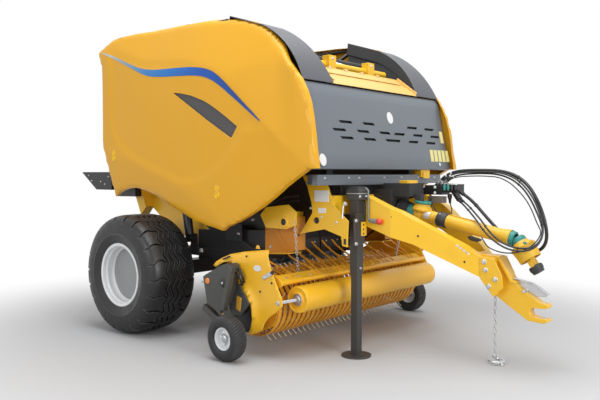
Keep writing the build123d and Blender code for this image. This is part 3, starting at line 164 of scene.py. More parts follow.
# ---- hoses -----------------------------------------------------------
# Two thin and one thick hydraulic hose of black rubber over wire braid, and a thin electric lead. They leave
# the holder's back, loop over the driveline's front end and return to their couplers, tied as a bundle.
# Each is given as (name, diameter, real length, points along its middle).
hose_routes = [
    ("hose_thick", 0.028, 2.498, [
        (0.3, -1.315, 1.445), (0.3, -1.367, 1.498), (0.296, -1.447, 1.54), (0.287, -1.553, 1.56),
        (0.272, -1.683, 1.563), (0.254, -1.819, 1.562), (0.23, -1.935, 1.558), (0.204, -2.041, 1.538),
        (0.178, -2.137, 1.498), (0.148, -2.223, 1.434), (0.118, -2.287, 1.358), (0.094, -2.338, 1.276),
        (0.078, -2.375, 1.19), (0.076, -2.397, 1.104), (0.092, -2.395, 1.016), (0.124, -2.351, 0.944),
        (0.148, -2.271, 0.906), (0.158, -2.179, 0.914), (0.165, -2.087, 0.958), (0.175, -2.003, 1.022),
        (0.198, -1.898, 1.106), (0.23, -1.797, 1.19), (0.264, -1.711, 1.26), (0.288, -1.643, 1.308),
        (0.297, -1.599, 1.335), (0.302, -1.569, 1.352),
    ]),
    ("hose_thin_low", 0.015, 2.472, [
        (0.262, -1.365, 1.443), (0.262, -1.412, 1.493), (0.255, -1.492, 1.533), (0.245, -1.597, 1.546),
        (0.228, -1.719, 1.549), (0.205, -1.837, 1.549), (0.184, -1.947, 1.544), (0.158, -2.049, 1.522),
        (0.129, -2.143, 1.48), (0.098, -2.223, 1.418), (0.062, -2.295, 1.342), (0.026, -2.351, 1.256),
        (-0.01, -2.395, 1.172), (-0.052, -2.424, 1.096), (-0.1, -2.425, 1.024), (-0.134, -2.385, 0.968),
        (-0.148, -2.315, 0.942), (-0.148, -2.237, 0.942), (-0.145, -2.163, 0.957), (-0.142, -2.095, 0.988),
        (-0.136, -2.031, 1.03), (-0.118, -1.969, 1.078), (-0.076, -1.905, 1.13), (-0.012, -1.829, 1.178),
        (0.058, -1.747, 1.222), (0.12, -1.673, 1.26), (0.168, -1.613, 1.288),
    ]),
    ("hose_thin_high", 0.015, 2.418, [
        (0.335, -1.35, 1.441), (0.335, -1.395, 1.481), (0.328, -1.468, 1.514), (0.315, -1.568, 1.53),
        (0.295, -1.685, 1.535), (0.272, -1.799, 1.536), (0.25, -1.905, 1.529), (0.225, -2.009, 1.504),
        (0.195, -2.102, 1.46), (0.162, -2.185, 1.396), (0.126, -2.255, 1.316), (0.088, -2.312, 1.234),
        (0.046, -2.363, 1.16), (-0.004, -2.402, 1.092), (-0.062, -2.409, 1.028), (-0.106, -2.375, 0.978),
        (-0.128, -2.311, 0.96), (-0.132, -2.229, 0.964), (-0.132, -2.161, 0.982), (-0.13, -2.097, 1.014),
        (-0.122, -2.035, 1.058), (-0.1, -1.975, 1.112), (-0.048, -1.909, 1.158), (0.018, -1.831, 1.2),
        (0.084, -1.755, 1.24), (0.142, -1.683, 1.274), (0.186, -1.627, 1.296),
    ]),
    ("signal_lead", 0.01, 2.782, [
        (0.375, -1.353, 1.437), (0.375, -1.38, 1.47), (0.37, -1.43, 1.496), (0.362, -1.507, 1.508),
        (0.352, -1.597, 1.512), (0.34, -1.687, 1.514), (0.327, -1.78, 1.512), (0.312, -1.875, 1.506),
        (0.296, -1.947, 1.484), (0.28, -2.017, 1.448), (0.258, -2.081, 1.4), (0.232, -2.143, 1.348),
        (0.204, -2.201, 1.286), (0.172, -2.251, 1.214), (0.136, -2.295, 1.146), (0.09, -2.337, 1.106),
        (0.034, -2.371, 1.086), (-0.024, -2.388, 1.055), (-0.076, -2.375, 1.008), (-0.11, -2.327, 0.96),
        (-0.132, -2.259, 0.928), (-0.148, -2.183, 0.918), (-0.138, -2.109, 0.922), (-0.106, -2.043, 0.932),
        (-0.064, -1.987, 0.942), (-0.014, -1.941, 0.954), (0.038, -1.897, 0.974), (0.084, -1.853, 1.002),
        (0.116, -1.805, 1.04), (0.124, -1.751, 1.082), (0.116, -1.691, 1.118), (0.104, -1.625, 1.144),
        (0.098, -1.555, 1.16), (0.102, -1.487, 1.17), (0.122, -1.427, 1.188), (0.152, -1.377, 1.214),
        (0.184, -1.335, 1.244), (0.212, -1.303, 1.274), (0.234, -1.283, 1.304),
    ]),
]


def new_group(name, inputs, outputs):
    """An empty shader group: (kind, name, default) for each input socket, (kind, name) for each output."""
    group = bpy.data.node_groups.new(name, "ShaderNodeTree")
    for kind, label, value in inputs:
        socket = group.interface.new_socket(label, in_out="INPUT", socket_type="NodeSocket" + kind)
        if value is not None:
            socket.default_value = value
    for kind, label in outputs:
        group.interface.new_socket(label, in_out="OUTPUT", socket_type="NodeSocket" + kind)
    return group, group.nodes.new("NodeGroupInput"), group.nodes.new("NodeGroupOutput")


# Slow drift of a colour's lightness over a surface, as in any moulding or spray coat.
tone_drift, ends_in, ends_out = new_group(
    "tone_drift",
    [("Color", "Color", (1, 1, 1, 1)), ("Float", "Size", 1.0), ("Float", "Amount", 0.05)],
    [("Color", "Color")],
)
cloud = add_node(
    tone_drift, "TexNoise", values={"Detail": 3.0, "Roughness": 0.6},
    links={"Vector": object_place(tone_drift), "Scale": ends_in.outputs["Size"]},
)
swing = add_node(tone_drift, "Math", {"operation": "SUBTRACT"}, {1: 0.5}, {0: cloud.outputs["Fac"]})
gain = add_node(
    tone_drift, "Math", {"operation": "MULTIPLY_ADD"}, {2: 1.0},
    {0: swing.outputs[0], 1: ends_in.outputs["Amount"]},
)
toned = add_node(
    tone_drift, "VectorMath", {"operation": "SCALE"},
    links={0: ends_in.outputs["Color"], "Scale": gain.outputs[0]},
)
tone_drift.links.new(toned.outputs[0], ends_out.inputs["Color"])

# Fine skin of a surface, as a height for a bump: orange peel in paint, or the bloom of moulded rubber.
fine_grain, ends_in, ends_out = new_group(
    "fine_grain", [("Float", "Size", 400.0), ("Float", "Depth", 1.0)], [("Float", "Height")],
)
speckle = add_node(
    fine_grain, "TexNoise", values={"Detail": 2.0, "Roughness": 0.55},
    links={"Vector": object_place(fine_grain), "Scale": ends_in.outputs["Size"]},
)
height = add_node(
    fine_grain, "Math", {"operation": "MULTIPLY"},
    links={0: speckle.outputs["Fac"], 1: ends_in.outputs["Depth"]},
)
fine_grain.links.new(height.outputs[0], ends_out.inputs["Height"])

# Rounded corners as they catch the light: the softened normal, and a mask that is 1 along an edge, along which
# each finish lays a lighter colour as a painted highlight.
edge_catch, ends_in, ends_out = new_group(
    "edge_catch", [("Float", "Radius", 0.004)], [("Vector", "Normal"), ("Float", "Edge")],
)
soft = add_node(edge_catch, "Bevel", {"samples": 4}, links={"Radius": ends_in.outputs["Radius"]})
plain = add_node(edge_catch, "NewGeometry")
along = add_node(
    edge_catch, "VectorMath", {"operation": "DOT_PRODUCT"},
    links={0: soft.outputs[0], 1: plain.outputs["Normal"]},
)
edge = add_node(
    edge_catch, "MapRange", values={"From Min": 0.995, "From Max": 0.86},
    links={"Value": along.outputs["Value"]},
)
edge_catch.links.new(soft.outputs[0], ends_out.inputs["Normal"])
edge_catch.links.new(edge.outputs[0], ends_out.inputs["Edge"])


def group_node(tree, group, values=()):
    """A group placed in a material, with its own values."""
    return add_node(tree, "Group", {"node_tree": group}, values)


def coat(name, color, roughness, edge=None, drift=0.06, drift_size=1.6, grain=(350, 0.05), radius=0.004,
         metallic=0.0, gloss=0.0, specular=0.5, rough_swing=0.08):
    """A surface finish: a drifting colour, edges painted a lighter colour as a painted highlight, uneven gloss
    and a fine grain.
    """
    material = bpy.data.materials.new(name)
    material.use_nodes = True
    tree = material.node_tree
    shade = tree.nodes["Principled BSDF"]
    set_inputs(shade, {"Metallic": metallic, "Specular IOR Level": specular})
    set_inputs(shade, {"Coat Weight": gloss, "Coat Roughness": 0.08})
    rgba = (*color, 1)
    # The edge colour is a painted highlight: the edge mask lays it along every corner.
    highlight_rgba = (*(edge or [min(1.0, c * 1.25) for c in color]), 1)
    catch = group_node(tree, edge_catch, {"Radius": radius})
    toned = group_node(tree, tone_drift, {"Color": rgba, "Size": drift_size, "Amount": drift})
    highlighted = add_node(
        tree, "Mix", {"data_type": "RGBA"}, {"B": highlight_rgba},
        {"Factor": catch.outputs["Edge"], "A": toned.outputs["Color"]},
    )
    tree.links.new(highlighted.outputs["Result"], shade.inputs["Base Color"])
    patch = add_node(tree, "TexNoise", values={"Scale": 7, "Detail": 4}, links={"Vector": object_place(tree)})
    low, high = roughness - rough_swing / 2, roughness + rough_swing / 2
    rough = add_node(
        tree, "MapRange", values={"From Min": 0.3, "From Max": 0.7, "To Min": low, "To Max": high},
        links={"Value": patch.outputs["Fac"]},
    )
    tree.links.new(rough.outputs[0], shade.inputs["Roughness"])
    skin = group_node(tree, fine_grain, {"Size": grain[0], "Depth": 1.0})
    bump = add_node(
        tree, "Bump", values={"Strength": grain[1], "Distance": 0.002},
        links={"Height": skin.outputs["Height"], "Normal": catch.outputs["Normal"]},
    )
    tree.links.new(bump.outputs[0], shade.inputs["Normal"])
    return material


hose_rubber = coat("hose_rubber", (0.018, 0.018, 0.02), 0.42, (0.03, 0.03, 0.032), grain=(900, 0.12),
                   radius=0.001, drift=0.3, drift_size=14.0)
hoses = {}
for name, diameter, length, route in hose_routes:
    line = bpy.data.curves.new("free_" + name, "CURVE")
    line.dimensions = "3D"
    strand = line.splines.new("NURBS")
    strand.points.add(len(route) - 1)
    for point, place in zip(strand.points, route):
        point.co = (*place, 1)
    strand.order_u = 3
    strand.use_endpoint_u = True
    strand.resolution_u = 6
    line.bevel_depth = diameter / 2
    line.bevel_resolution = 3
    line.use_fill_caps = True
    line.materials.append(hose_rubber)
    hoses[name] = placed("free_" + name, line)
    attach(hoses[name], "root")
    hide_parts(name)

# ---- road wheels -----------------------------------------------------
# Wide flotation tyres with zigzag ribs and long shoulder lugs, moulded in black rubber, on pressed and
# welded steel rims, sprayed white, whose dished disc closes the middle. Each turns on its stub axle.
AXLE_Y = 1.125              # new pieces are drawn with y from the axle, and moved by this when finished
TRACK_HALF = 1.192
TYRE_R = 0.57
wheel_middle = (-TRACK_HALF, 0, TYRE_R)


def paint(verts, coat):
    """Gives the faces at some corners a finish, by its place in the piece's list."""
    for face in {face for v in verts for face in v.link_faces}:
        face.material_index = coat


def turned(shape, profile, centre, along=(1, 0, 0), steps=96, coat=0):
    """Spins a line of (along the axis, from the axis) points about an axis through a centre."""
    along = Vector(along).normalized()
    outward = along.cross(Vector((0, 0, 1))) if abs(along.z) < 0.9 else Vector((1, 0, 0))
    outward.normalize()
    already = set(shape.verts)
    line = [shape.verts.new(Vector(centre) + along * a + outward * r) for a, r in profile]
    edges = [shape.edges.new(ends) for ends in zip(line, line[1:])]
    bmesh.ops.spin(
        shape, geom=line + edges, cent=centre, axis=along, dvec=(0, 0, 0), angle=2 * pi, steps=steps,
        use_merge=True,
    )
    fresh = [v for v in shape.verts if v not in already]
    bmesh.ops.remove_doubles(shape, verts=fresh, dist=1e-6)
    fresh = [v for v in shape.verts if v not in already]
    paint(fresh, coat)
    return fresh


def smooth_faces(mesh, angle):
    """Shades a mesh smooth, except where its faces meet at more than an angle in degrees."""
    mesh.shade_smooth()
    mesh.set_sharp_from_angle(angle=radians(angle))


def piece(name, shape, body, coats, swaps=(), slot=None, smooth=38, bevel=0.0):
    """Puts a finished shape in place as a piece on a body, standing for the CAD nodes named in swaps."""
    bmesh.ops.translate(shape, vec=(0, AXLE_Y, 0), verts=shape.verts)
    bmesh.ops.recalc_face_normals(shape, faces=shape.faces)
    mesh = meshed(name, shape)
    for finish_coat in coats:
        mesh.materials.append(finish_coat)
    smooth_faces(mesh, smooth)
    made = placed(name, mesh)
    if bevel:
        soften = made.modifiers.new("soft_edges", "BEVEL")
        soften.width = bevel
        soften.segments = 2
        soften.limit_method = "ANGLE"
        soften.angle_limit = radians(38)
    if body:
        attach(made, body)
    if swaps:
        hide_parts(*swaps)
    return made


def pair(name, shape, body, coats, swaps=(), **looks):
    """A right-hand piece and its mirror image; body and swaps may hold {} for the side."""
    other = shape.copy()
    bmesh.ops.scale(other, vec=(-1, 1, 1), verts=other.verts)
    bmesh.ops.reverse_faces(other, faces=other.faces)
    return [
        piece(f"{name}_{side}", form, body and body.format(side), coats, [swap.format(side) for swap in swaps],
              **looks)
        for side, form in (("right", shape), ("left", other))
    ]


# The tread's light grey edge colour is a painted highlight along the lug edges.
tyre_rubber = coat("tyre_rubber", (0.01, 0.01, 0.011), 0.4, (0.2, 0.2, 0.2), grain=(260, 0.25),
                   radius=0.0045, drift=0.35, drift_size=5.0, specular=0.5, rough_swing=0.2)
wheel_white = coat("wheel_white", (0.8, 0.81, 0.82), 0.34, (0.88, 0.89, 0.9), drift=0.05, gloss=0.15)
# The disc is the rim's white paint, coloured a darker grey as painted shade cast by the rim; its light edge
# colour is a painted highlight.
disc_painted_shade = coat("disc_painted_shade", (0.31, 0.313, 0.317), 0.42, (0.7, 0.7, 0.7), drift=0.08, drift_size=3.0)

# Crown and sidewall, as (from the middle plane, from the axle); the ribs and lugs stand on them.
side_line = [(0, 0.57), (0.11, 0.569), (0.155, 0.565), (0.195, 0.554), (0.222, 0.538), (0.24, 0.514),
             (0.25, 0.48), (0.255, 0.44), (0.253, 0.4), (0.247, 0.365), (0.239, 0.338), (0.23, 0.318),
             (0.225, 0.306), (0.222, 0.288)]
WIDEST = 7                  # place in this line of the widest part
PITCHES = 22
pitch_steps = [0.0, 0.025, 0.14, 0.165, 0.35, 0.56, 0.78]     # places of a pitch's rows, as shares of it
GAP_ROWS = (1, 2)           # the rows of a pitch that lie in the gap between two lugs
ZIGZAG_AT = 0.56            # share of a pitch at which the zigzag turns
ZIGZAG = 0.022              # how far it swings to each side
LUG_FROM, LUG_WIDE, LUG_BOW = 0.1, 0.12, 0.3      # where the lugs begin to bow, over what width, how much
SHOULDER_FROM, SHOULDER_LEAN = 0.18, 0.9            # outside this the lugs lean on in a straight line
LEAN_SHARE = 0.6
LUG_FADE = 0.006            # how far a lug's outer end runs out into the sidewall
INNER_WIDE = 1.1           # the half towards the chamber is drawn this much wider
# Each row across: (from the middle, sunk in a groove 0 or 1, how far it swings in the zigzag, lug 0 to 1)
rows = [(0, 0, 1, 0), (0.017, 0, 1, 0), (0.02, 1, 1, 0), (0.036, 1, 1, 0), (0.039, 0, 1, 0),
        (0.06, 0, 1, 0), (0.079, 0, 1, 0), (0.082, 1, 1, 0), (0.099, 1, 1, 0), (0.102, 0, 1, 1),
        (0.125, 0, 0.6, 1), (0.15, 0, 0.3, 1), (0.176, 0, 0.1, 1), (0.2, 0, 0, 1), (0.22, 0, 0, 1),
        (0.236, 0, 0, 0.8), (0.246, 0, 0, 0.45)]
TREAD_DEPTH = 0.024


def side_radius(x):
    """Radius of the tyre's outside at a distance from its middle plane, out to the widest part."""
    for (x0, r0), (x1, r1) in zip(side_line, side_line[1:]):
        if x0 <= abs(x) <= x1:
            return r0 + (r1 - r0) * (abs(x) - x0) / (x1 - x0)
    return side_line[WIDEST][1]


tyre = bmesh.new()
half_rows = [(x, side_radius(x), sunk, swing, lug) for x, sunk, swing, lug in rows]
wall_rows = [(x, r, 0, 0, 0) for x, r in side_line[WIDEST:]]
raised_line = [(0.2535, 0.392), (0.2565, 0.388), (0.2545, 0.383)]     # round the sidewall
wall_rows[2:2] = [(x, r, 0, 0, 0) for x, r in raised_line]
full = [(-x, *rest) for x, *rest in reversed(half_rows[1:] + wall_rows)] + half_rows + wall_rows
row_count = len(pitch_steps)
made = turned(tyre, [(x, r) for x, r, *_ in full], wheel_middle, steps=PITCHES * row_count)
known = {(round(x, 4), round(r, 4)): (sunk, swing, lug) for x, r, sunk, swing, lug in full}
for v in made:
    x, y, z = v.co.x + TRACK_HALF, v.co.y, v.co.z - TYRE_R
    radius = hypot(y, z)
    sunk, swing, lug = known[(round(x, 4), round(radius, 4))]
    turn = (atan2(z, y) / (2 * pi)) % 1.0
    step = round(turn * PITCHES * row_count) % (PITCHES * row_count)
    pitch, row = divmod(step, row_count)
    share = pitch_steps[row]
    wave = 1 - 2 * abs(((share - ZIGZAG_AT) % 1.0) * 2 - 1)
    sideways = ZIGZAG * swing * wave
    bow = sin(min(1.0, max(0.0, (abs(x) - LUG_FROM) / LUG_WIDE)) * pi) * lug
    lean = LUG_BOW * bow + SHOULDER_LEAN * max(0.0, abs(x) - SHOULDER_FROM)
    angle = 2 * pi * (pitch + share + lean * (1 if x > 0 else -1) * LEAN_SHARE) / PITCHES
    depth = TREAD_DEPTH * max(sunk, lug if row in GAP_ROWS else 0)
    if 0 < lug < 1:
        radius -= LUG_FADE * (1 - lug) * (row not in GAP_ROWS)
    wide = INNER_WIDE if x > 0 else 1.0
    radius -= depth
    v.co = (-TRACK_HALF + x * wide + sideways, radius * cos(angle), TYRE_R + radius * sin(angle))
pair("road_tyre", tyre, "wheel_{}", [tyre_rubber], ["tyre_{}"], slot="tyre", smooth=30)

rim = bmesh.new()
OUT, IN = -0.229, 0.215     # the flanges' outer faces, from the wheel's middle plane
turned(rim, [
    (OUT + 0.004, 0.276), (OUT, 0.284), (OUT, 0.298), (OUT + 0.004, 0.303), (OUT + 0.009, 0.303),
    (OUT + 0.011, 0.298), (OUT + 0.011, 0.289), (OUT + 0.04, 0.287), (-0.1, 0.283), (0.1, 0.283),
    (IN - 0.011, 0.288), (IN - 0.011, 0.298), (IN - 0.008, 0.303), (IN - 0.003, 0.303), (IN, 0.298),
    (IN - 0.002, 0.28), (IN - 0.05, 0.27), (-0.02, 0.262),
], wheel_middle)
turned(rim, [
    (OUT + 0.004, 0.276), (OUT + 0.04, 0.274), (OUT + 0.046, 0.266), (OUT + 0.06, 0.263),
    (OUT + 0.066, 0.272), (OUT + 0.1, 0.27), (OUT + 0.112, 0.262), (OUT + 0.118, 0.25),
], wheel_middle)
turned(rim, [
    (OUT + 0.118, 0.25), (OUT + 0.125, 0.244), (OUT + 0.132, 0.232), (OUT + 0.134, 0.16), (OUT + 0.128, 0.08),
    (OUT + 0.126, 0.0),
], wheel_middle, coat=1)
turned(rim, [
    (-0.02, 0.262), (0.02, 0.25), (0.06, 0.14), (0.075, 0.105), (0.09, 0.1), (0.094, 0),
], wheel_middle)
bmesh.ops.remove_doubles(rim, verts=rim.verts, dist=1e-5)
for turn in (205, 209):     # the valve and its cap, beside each other in the disc
    a = radians(turn)
    turned(rim, [(0, 0), (0, 0.011), (-0.006, 0.012), (-0.008, 0.006), (-0.03, 0.005), (-0.031, 0)],
           (-TRACK_HALF + OUT + 0.134, 0.2 * cos(a), TYRE_R - 0.2 * sin(a)), steps=12, coat=2)
black_paint = coat("black_paint", (0.014, 0.014, 0.015), 0.4, (0.05, 0.05, 0.05), drift=0.2, drift_size=3.0)
pair("road_rim", rim, "wheel_{}", [wheel_white, disc_painted_shade, black_paint], ["rim_{}"], slot="wheel_white")

# ---- gauge wheels ----------------------------------------------------
# Small pneumatic wheels that carry the pickup over the ground: ribbed black tyres on white pressed rims with
# a greased hub and three nuts. Each runs on a stub at the foot of its arm.
GAUGE_X, GAUGE_Y, GAUGE_R = 1.39, -1.466, 0.19
gauge_middle = (-GAUGE_X, GAUGE_Y, GAUGE_R)
GAUGE_STEPS = 150
BLOCK_WIDE = 0.02          # width of the small tread blocks, across the tyre
TREAD_FROM = 0.159          # radius at which the blocks end on the sidewall
BLOCK_SINK = 0.95           # share of the radius left in the gaps between them
gauge_tyre = bmesh.new()
ribbed = [(0, 0.19), (0.007, 0.19), (0.008, 0.185), (0.013, 0.185), (0.014, 0.1895), (0.027, 0.1888),
          (0.028, 0.184), (0.033, 0.1835), (0.034, 0.187), (0.046, 0.183), (0.047, 0.179), (0.051, 0.177),
          (0.053, 0.179), (0.06, 0.172), (0.066, 0.16), (0.0695, 0.143), (0.07, 0.126), (0.067, 0.11),
          (0.059, 0.101), (0.049, 0.096), (0.045, 0.09)]
made = turned(gauge_tyre, [(-x, r) for x, r in reversed(ribbed[1:])] + ribbed, gauge_middle, steps=GAUGE_STEPS)
for v in made:
    y, z = v.co.y - GAUGE_Y, v.co.z - GAUGE_R
    step = round((atan2(z, y) / (2 * pi)) % 1.0 * GAUGE_STEPS)
    row = round((v.co.x + GAUGE_X) / BLOCK_WIDE)
    if hypot(y, z) > TREAD_FROM and (step + row) % 3 == 0:
        v.co.y, v.co.z = GAUGE_Y + y * BLOCK_SINK, GAUGE_R + z * BLOCK_SINK
# The light edge colour on the tread blocks is a painted highlight.
gauge_rubber = coat("gauge_rubber", (0.016, 0.016, 0.017), 0.5, (0.15, 0.15, 0.155), grain=(240, 0.5),
                    radius=0.0035, drift=0.3, drift_size=9.0)
pair("gauge_tyre_ribbed", gauge_tyre, "gauge_wheel_{}", [gauge_rubber], ["gauge_tyre_{}"], slot="tyre",
     smooth=30)

gauge_rim = bmesh.new()
turned(gauge_rim, [
    (-0.05, 0.085), (-0.05, 0.094), (-0.046, 0.095), (-0.044, 0.088), (-0.02, 0.081), (0.02, 0.081),
    (0.044, 0.088), (0.046, 0.095), (0.05, 0.094), (0.05, 0.085), (0.03, 0.078), (0.004, 0.075),
    (-0.004, 0.067), (-0.006, 0.046), (-0.012, 0.04), (-0.018, 0.034),
], gauge_middle, steps=64)
turned(gauge_rim, [(-0.05, 0.085), (-0.03, 0.078), (-0.01, 0.075), (-0.01, 0.067), (-0.012, 0.046)],
       gauge_middle, steps=64)
turned(gauge_rim, [
    (0.034, 0.0145), (0.034, 0.03), (-0.03, 0.033), (-0.036, 0.03), (-0.04, 0.024), (-0.04, 0.014),
    (-0.046, 0.013), (-0.047, 0),
], gauge_middle, steps=40, coat=1)
for turn in (30, 150, 270):
    a = radians(turn)
    turned(gauge_rim, [(0, 0), (0, 0.009), (-0.01, 0.009), (-0.012, 0.006), (-0.012, 0)],
           (-GAUGE_X - 0.013, GAUGE_Y + 0.053 * cos(a), GAUGE_R + 0.053 * sin(a)), steps=6, coat=1)
zinc = coat("zinc", (0.55, 0.56, 0.58), 0.36, (0.75, 0.76, 0.78), metallic=0.9, drift=0.25, drift_size=25.0,
            grain=(120, 0.1), radius=0.002)
pair("gauge_rim_pressed", gauge_rim, "gauge_wheel_{}", [wheel_white, zinc], ["gauge_rim_{}"],
     slot="wheel_white")

# ---- side doors ------------------------------------------------------
# Gull-wing doors pressed from one sheet each, with rolled edges, and sprayed a warm gloss yellow. The upper
# part leans in above a crease, a broad panel is sunk in the middle, and a punched grille closes the vent.
DOOR_X = 1.13
door_outline = [
    (-2.19, 1.575), (-2.188, 1.7), (-2.178, 1.85), (-2.16, 1.98), (-2.137, 2.09), (-2.098, 2.195),
    (-2.04, 2.296), (-1.965, 2.38), (-1.89, 2.447), (-1.8, 2.532), (-1.72, 2.607), (-1.62, 2.696),
    (-1.53, 2.768), (-1.45, 2.806), (-1.37, 2.84), (-1.25, 2.874), (-1.14, 2.896), (-0.96, 2.917),
    (-0.78, 2.93), (-0.44, 2.938), (-0.1, 2.94), (0.22, 2.934), (0.48, 2.922), (0.56, 2.908), (0.64, 2.868),
    (0.77, 2.79), (0.742, 2.72), (0.71, 2.65), (0.702, 2.47), (0.7, 2.28), (0.701, 2.08), (0.703, 1.88),
    (0.676, 1.74), (0.63, 1.58), (0.585, 1.436), (0.54, 1.298), (0.455, 1.342), (0.367, 1.37),
    (0.27, 1.388), (0.15, 1.392), (0.04, 1.374), (-0.08, 1.345), (-0.2, 1.31), (-0.31, 1.258),
    (-0.41, 1.215), (-0.57, 1.162), (-0.715, 1.106), (-0.92, 1.064), (-1.107, 1.033), (-1.149, 1.064),
    (-1.285, 1.112), (-1.43, 1.176), (-1.58, 1.253), (-1.72, 1.338), (-1.86, 1.43), (-2, 1.512),
    (-2.104, 1.571),
]
crease = [(-2.3, 2.058), (-0.916, 2.405), (-0.75, 2.452), (-0.55, 2.47), (-0.35, 2.482), (-0.18, 2.492),
          (0, 2.522), (0.25, 2.618), (0.45, 2.7), (0.6, 2.755), (0.8, 2.8)]
sunk_panel = [
    (0.56, 2.8), (0.524, 2.552), (0.523, 2.358), (0.527, 2.119), (0.496, 1.983), (0.408, 1.86),
    (0.27, 1.753), (0.028, 1.648), (-0.317, 1.533), (-0.555, 1.472), (-0.722, 1.462), (-0.943, 1.52),
    (-1.136, 1.635), (-1.284, 1.772), (-1.366, 1.869), (-1.428, 1.922), (-1.583, 1.945), (-1.4, 2.12),
    (-1.2, 2.29), (-1, 2.44), (-0.6, 2.55), (0, 2.6),
]
fold = [(-1.141, 1.047), (-1.038, 1.145), (-0.941, 1.217), (-0.639, 1.382), (-0.272, 1.533), (-0.043, 1.604),
        (0.148, 1.656), (0.322, 1.67), (0.476, 1.69), (0.595, 1.74), (0.72, 1.85)]
corner_fold = [(-1.617, 1.963), (-2.113, 1.578)]    # from the stripe's tip down to the front corner
EDGE_ROLL = 0.034           # along the front and top; the lower and rear edges are folded tighter
TIGHT_ROLL = 0.012
UPPER_LEAN = 0.2746         # how far the part above the crease leans in, for each metre up
FRONT_LEAN = 0.1488         # and the front corner, for each metre across its line
FRONT_AT, FRONT_ACROSS = (-1.175, 2.272), (-0.6025, 0.798)     # that line's place, and the way across it
FRONT_FROM, FRONT_WIDE = -1.72, 0.28       # where the front edge's own shape begins, and over what length
PANEL_DEEP, PANEL_STEP = 0.01, 0.045       # the sunk panel, and the width of the step round it
TUCK = 0.11                 # how far the foot tucks in, for each metre below its fold
BELLY, BELLY_AT, BELLY_REACH = 0.016, (-0.6, 2), (1.6, 0.95)     # the middle stands out by this much
CORNER_DEEP, CORNER_WIDE = 0.009, 0.17      # the hollow below the corner fold


def along_line(line, at):
    """Height of a line of rising (place, height) points at one place."""
    for (y0, z0), (y1, z1) in zip(line, line[1:]):
        if at <= y1:
            return z0 + (z1 - z0) * (at - y0) / (y1 - y0)
    return line[-1][1]


def depth_inside(outline, y, z):
    """Distance to an outline, positive inside it."""
    nearest, inside = 9.0, False
    for (y0, z0), (y1, z1) in zip(outline, outline[1:] + outline[:1]):
        dy, dz = y1 - y0, z1 - z0
        t = max(0.0, min(1.0, ((y - y0) * dy + (z - z0) * dz) / (dy * dy + dz * dz)))
        nearest = min(nearest, hypot(y - y0 - t * dy, z - z0 - t * dz))
        if (z0 > z) != (z1 > z) and y < y0 + (z - z0) / dz * dy:
            inside = not inside
    return nearest if inside else -nearest


def soft_above(value, soft):
    """The value where it is positive, rounded off towards nothing below."""
    return (value + (value * value + soft * soft) ** 0.5) / 2


def clipped(share):
    """A share held between 0 and 1."""
    return min(1.0, max(0.0, share))


def eased(share):
    """A share from 0 to 1 that starts and ends gently."""
    share = clipped(share)
    return share * share * (3 - 2 * share)


def front_share(y):
    """0 over most of the door, rising to 1 along its front edge."""
    return eased((FRONT_FROM - y) / FRONT_WIDE)


def beside_fold(y, z):
    """Distance below the corner fold's line, and the distance along it from its upper end."""
    (y0, z0), (y1, z1) = corner_fold
    long = hypot(y1 - y0, z1 - z0)
    dy, dz = (y1 - y0) / long, (z1 - z0) / long
    return (y0 - y) * dz + (z - z0) * dy, (y - y0) * dy + (z - z0) * dz


def door_inward(y, z, rolled=True):
    """How far the door's skin lies inboard of its flat side, at a place on it."""
    upper = UPPER_LEAN * (z - along_line(crease, y))
    front = FRONT_LEAN * ((y - FRONT_AT[0]) * FRONT_ACROSS[0] + (z - FRONT_AT[1]) * FRONT_ACROSS[1])
    lean = soft_above(upper, 0.006)
    lean += soft_above(front - lean, 0.007)
    sunk = PANEL_DEEP * eased(depth_inside(sunk_panel, y, z) / PANEL_STEP + 0.5)
    tuck = TUCK * soft_above(along_line(fold, y) - z, 0.012)
    bulge = BELLY
    for place, middle, reach in zip((y, z), BELLY_AT, BELLY_REACH):
        bulge *= max(0.0, 1 - ((place - middle) / reach) ** 2)
    below, run = beside_fold(y, z)
    tuck += CORNER_DEEP * (1 - (1 - clipped(below / CORNER_WIDE)) ** 2) * eased((run + 0.12) / 0.22)
    roll = 0.0
    if rolled:
        share = clipped((z - 1.6 - 0.55 * (y + 2.2)) / 0.12) * clipped((0.5 - y) / 0.2)
        edge_roll = TIGHT_ROLL + (EDGE_ROLL - TIGHT_ROLL) * share
        near = min(edge_roll, max(0.0, depth_inside(door_outline, y, z)))
        roll = edge_roll - (edge_roll**2 - (edge_roll - near) ** 2) ** 0.5
    return (lean + sunk + tuck + roll - bulge) * (1 - 0.5 * front_share(y))


def flat_sheet(outline, x):
    """A new flat face that stands fore and aft at one x, from a (y, z) outline."""
    shape = bmesh.new()
    shape.faces.new([shape.verts.new((x, y, z)) for y, z in outline])
    return shape


def ring_edges(shape, steps):
    """Rings of faces along a flat shape's edge, each a step further in, for a rolled edge to bend."""
    for step in steps:
        middle = max(shape.faces, key=lambda face: face.calc_area())
        bmesh.ops.inset_region(shape, faces=[middle], thickness=step, use_even_offset=True)


def cut(shape, place, across):
    """Cuts a shape's faces along a plane."""
    everything = shape.verts[:] + shape.edges[:] + shape.faces[:]
    bmesh.ops.bisect_plane(shape, geom=everything, dist=1e-5, plane_co=place, plane_no=across)


def cut_grid(shape, lows, highs, step):
    """Cuts a flat shape's faces into a grid, in y and z."""
    for axis, low, high in ((1, lows[0], highs[0]), (2, lows[1], highs[1])):
        across = [float(i == axis) for i in range(3)]
        for i in range(1, int((high - low) / step) + 1):
            cut(shape, [(low + step * i) * share for share in across], across)


def fresh_corners(grown):
    """The corners among what an extrusion has made."""
    return [v for v in grown["geom"] if isinstance(v, bmesh.types.BMVert)]


def fold_lip(shape):
    """Draws a lip out of a sheet's free edges, and gives its corners."""
    edges = [edge for edge in shape.edges if edge.is_boundary]
    return set(fresh_corners(bmesh.ops.extrude_edge_only(shape, edges=edges)))


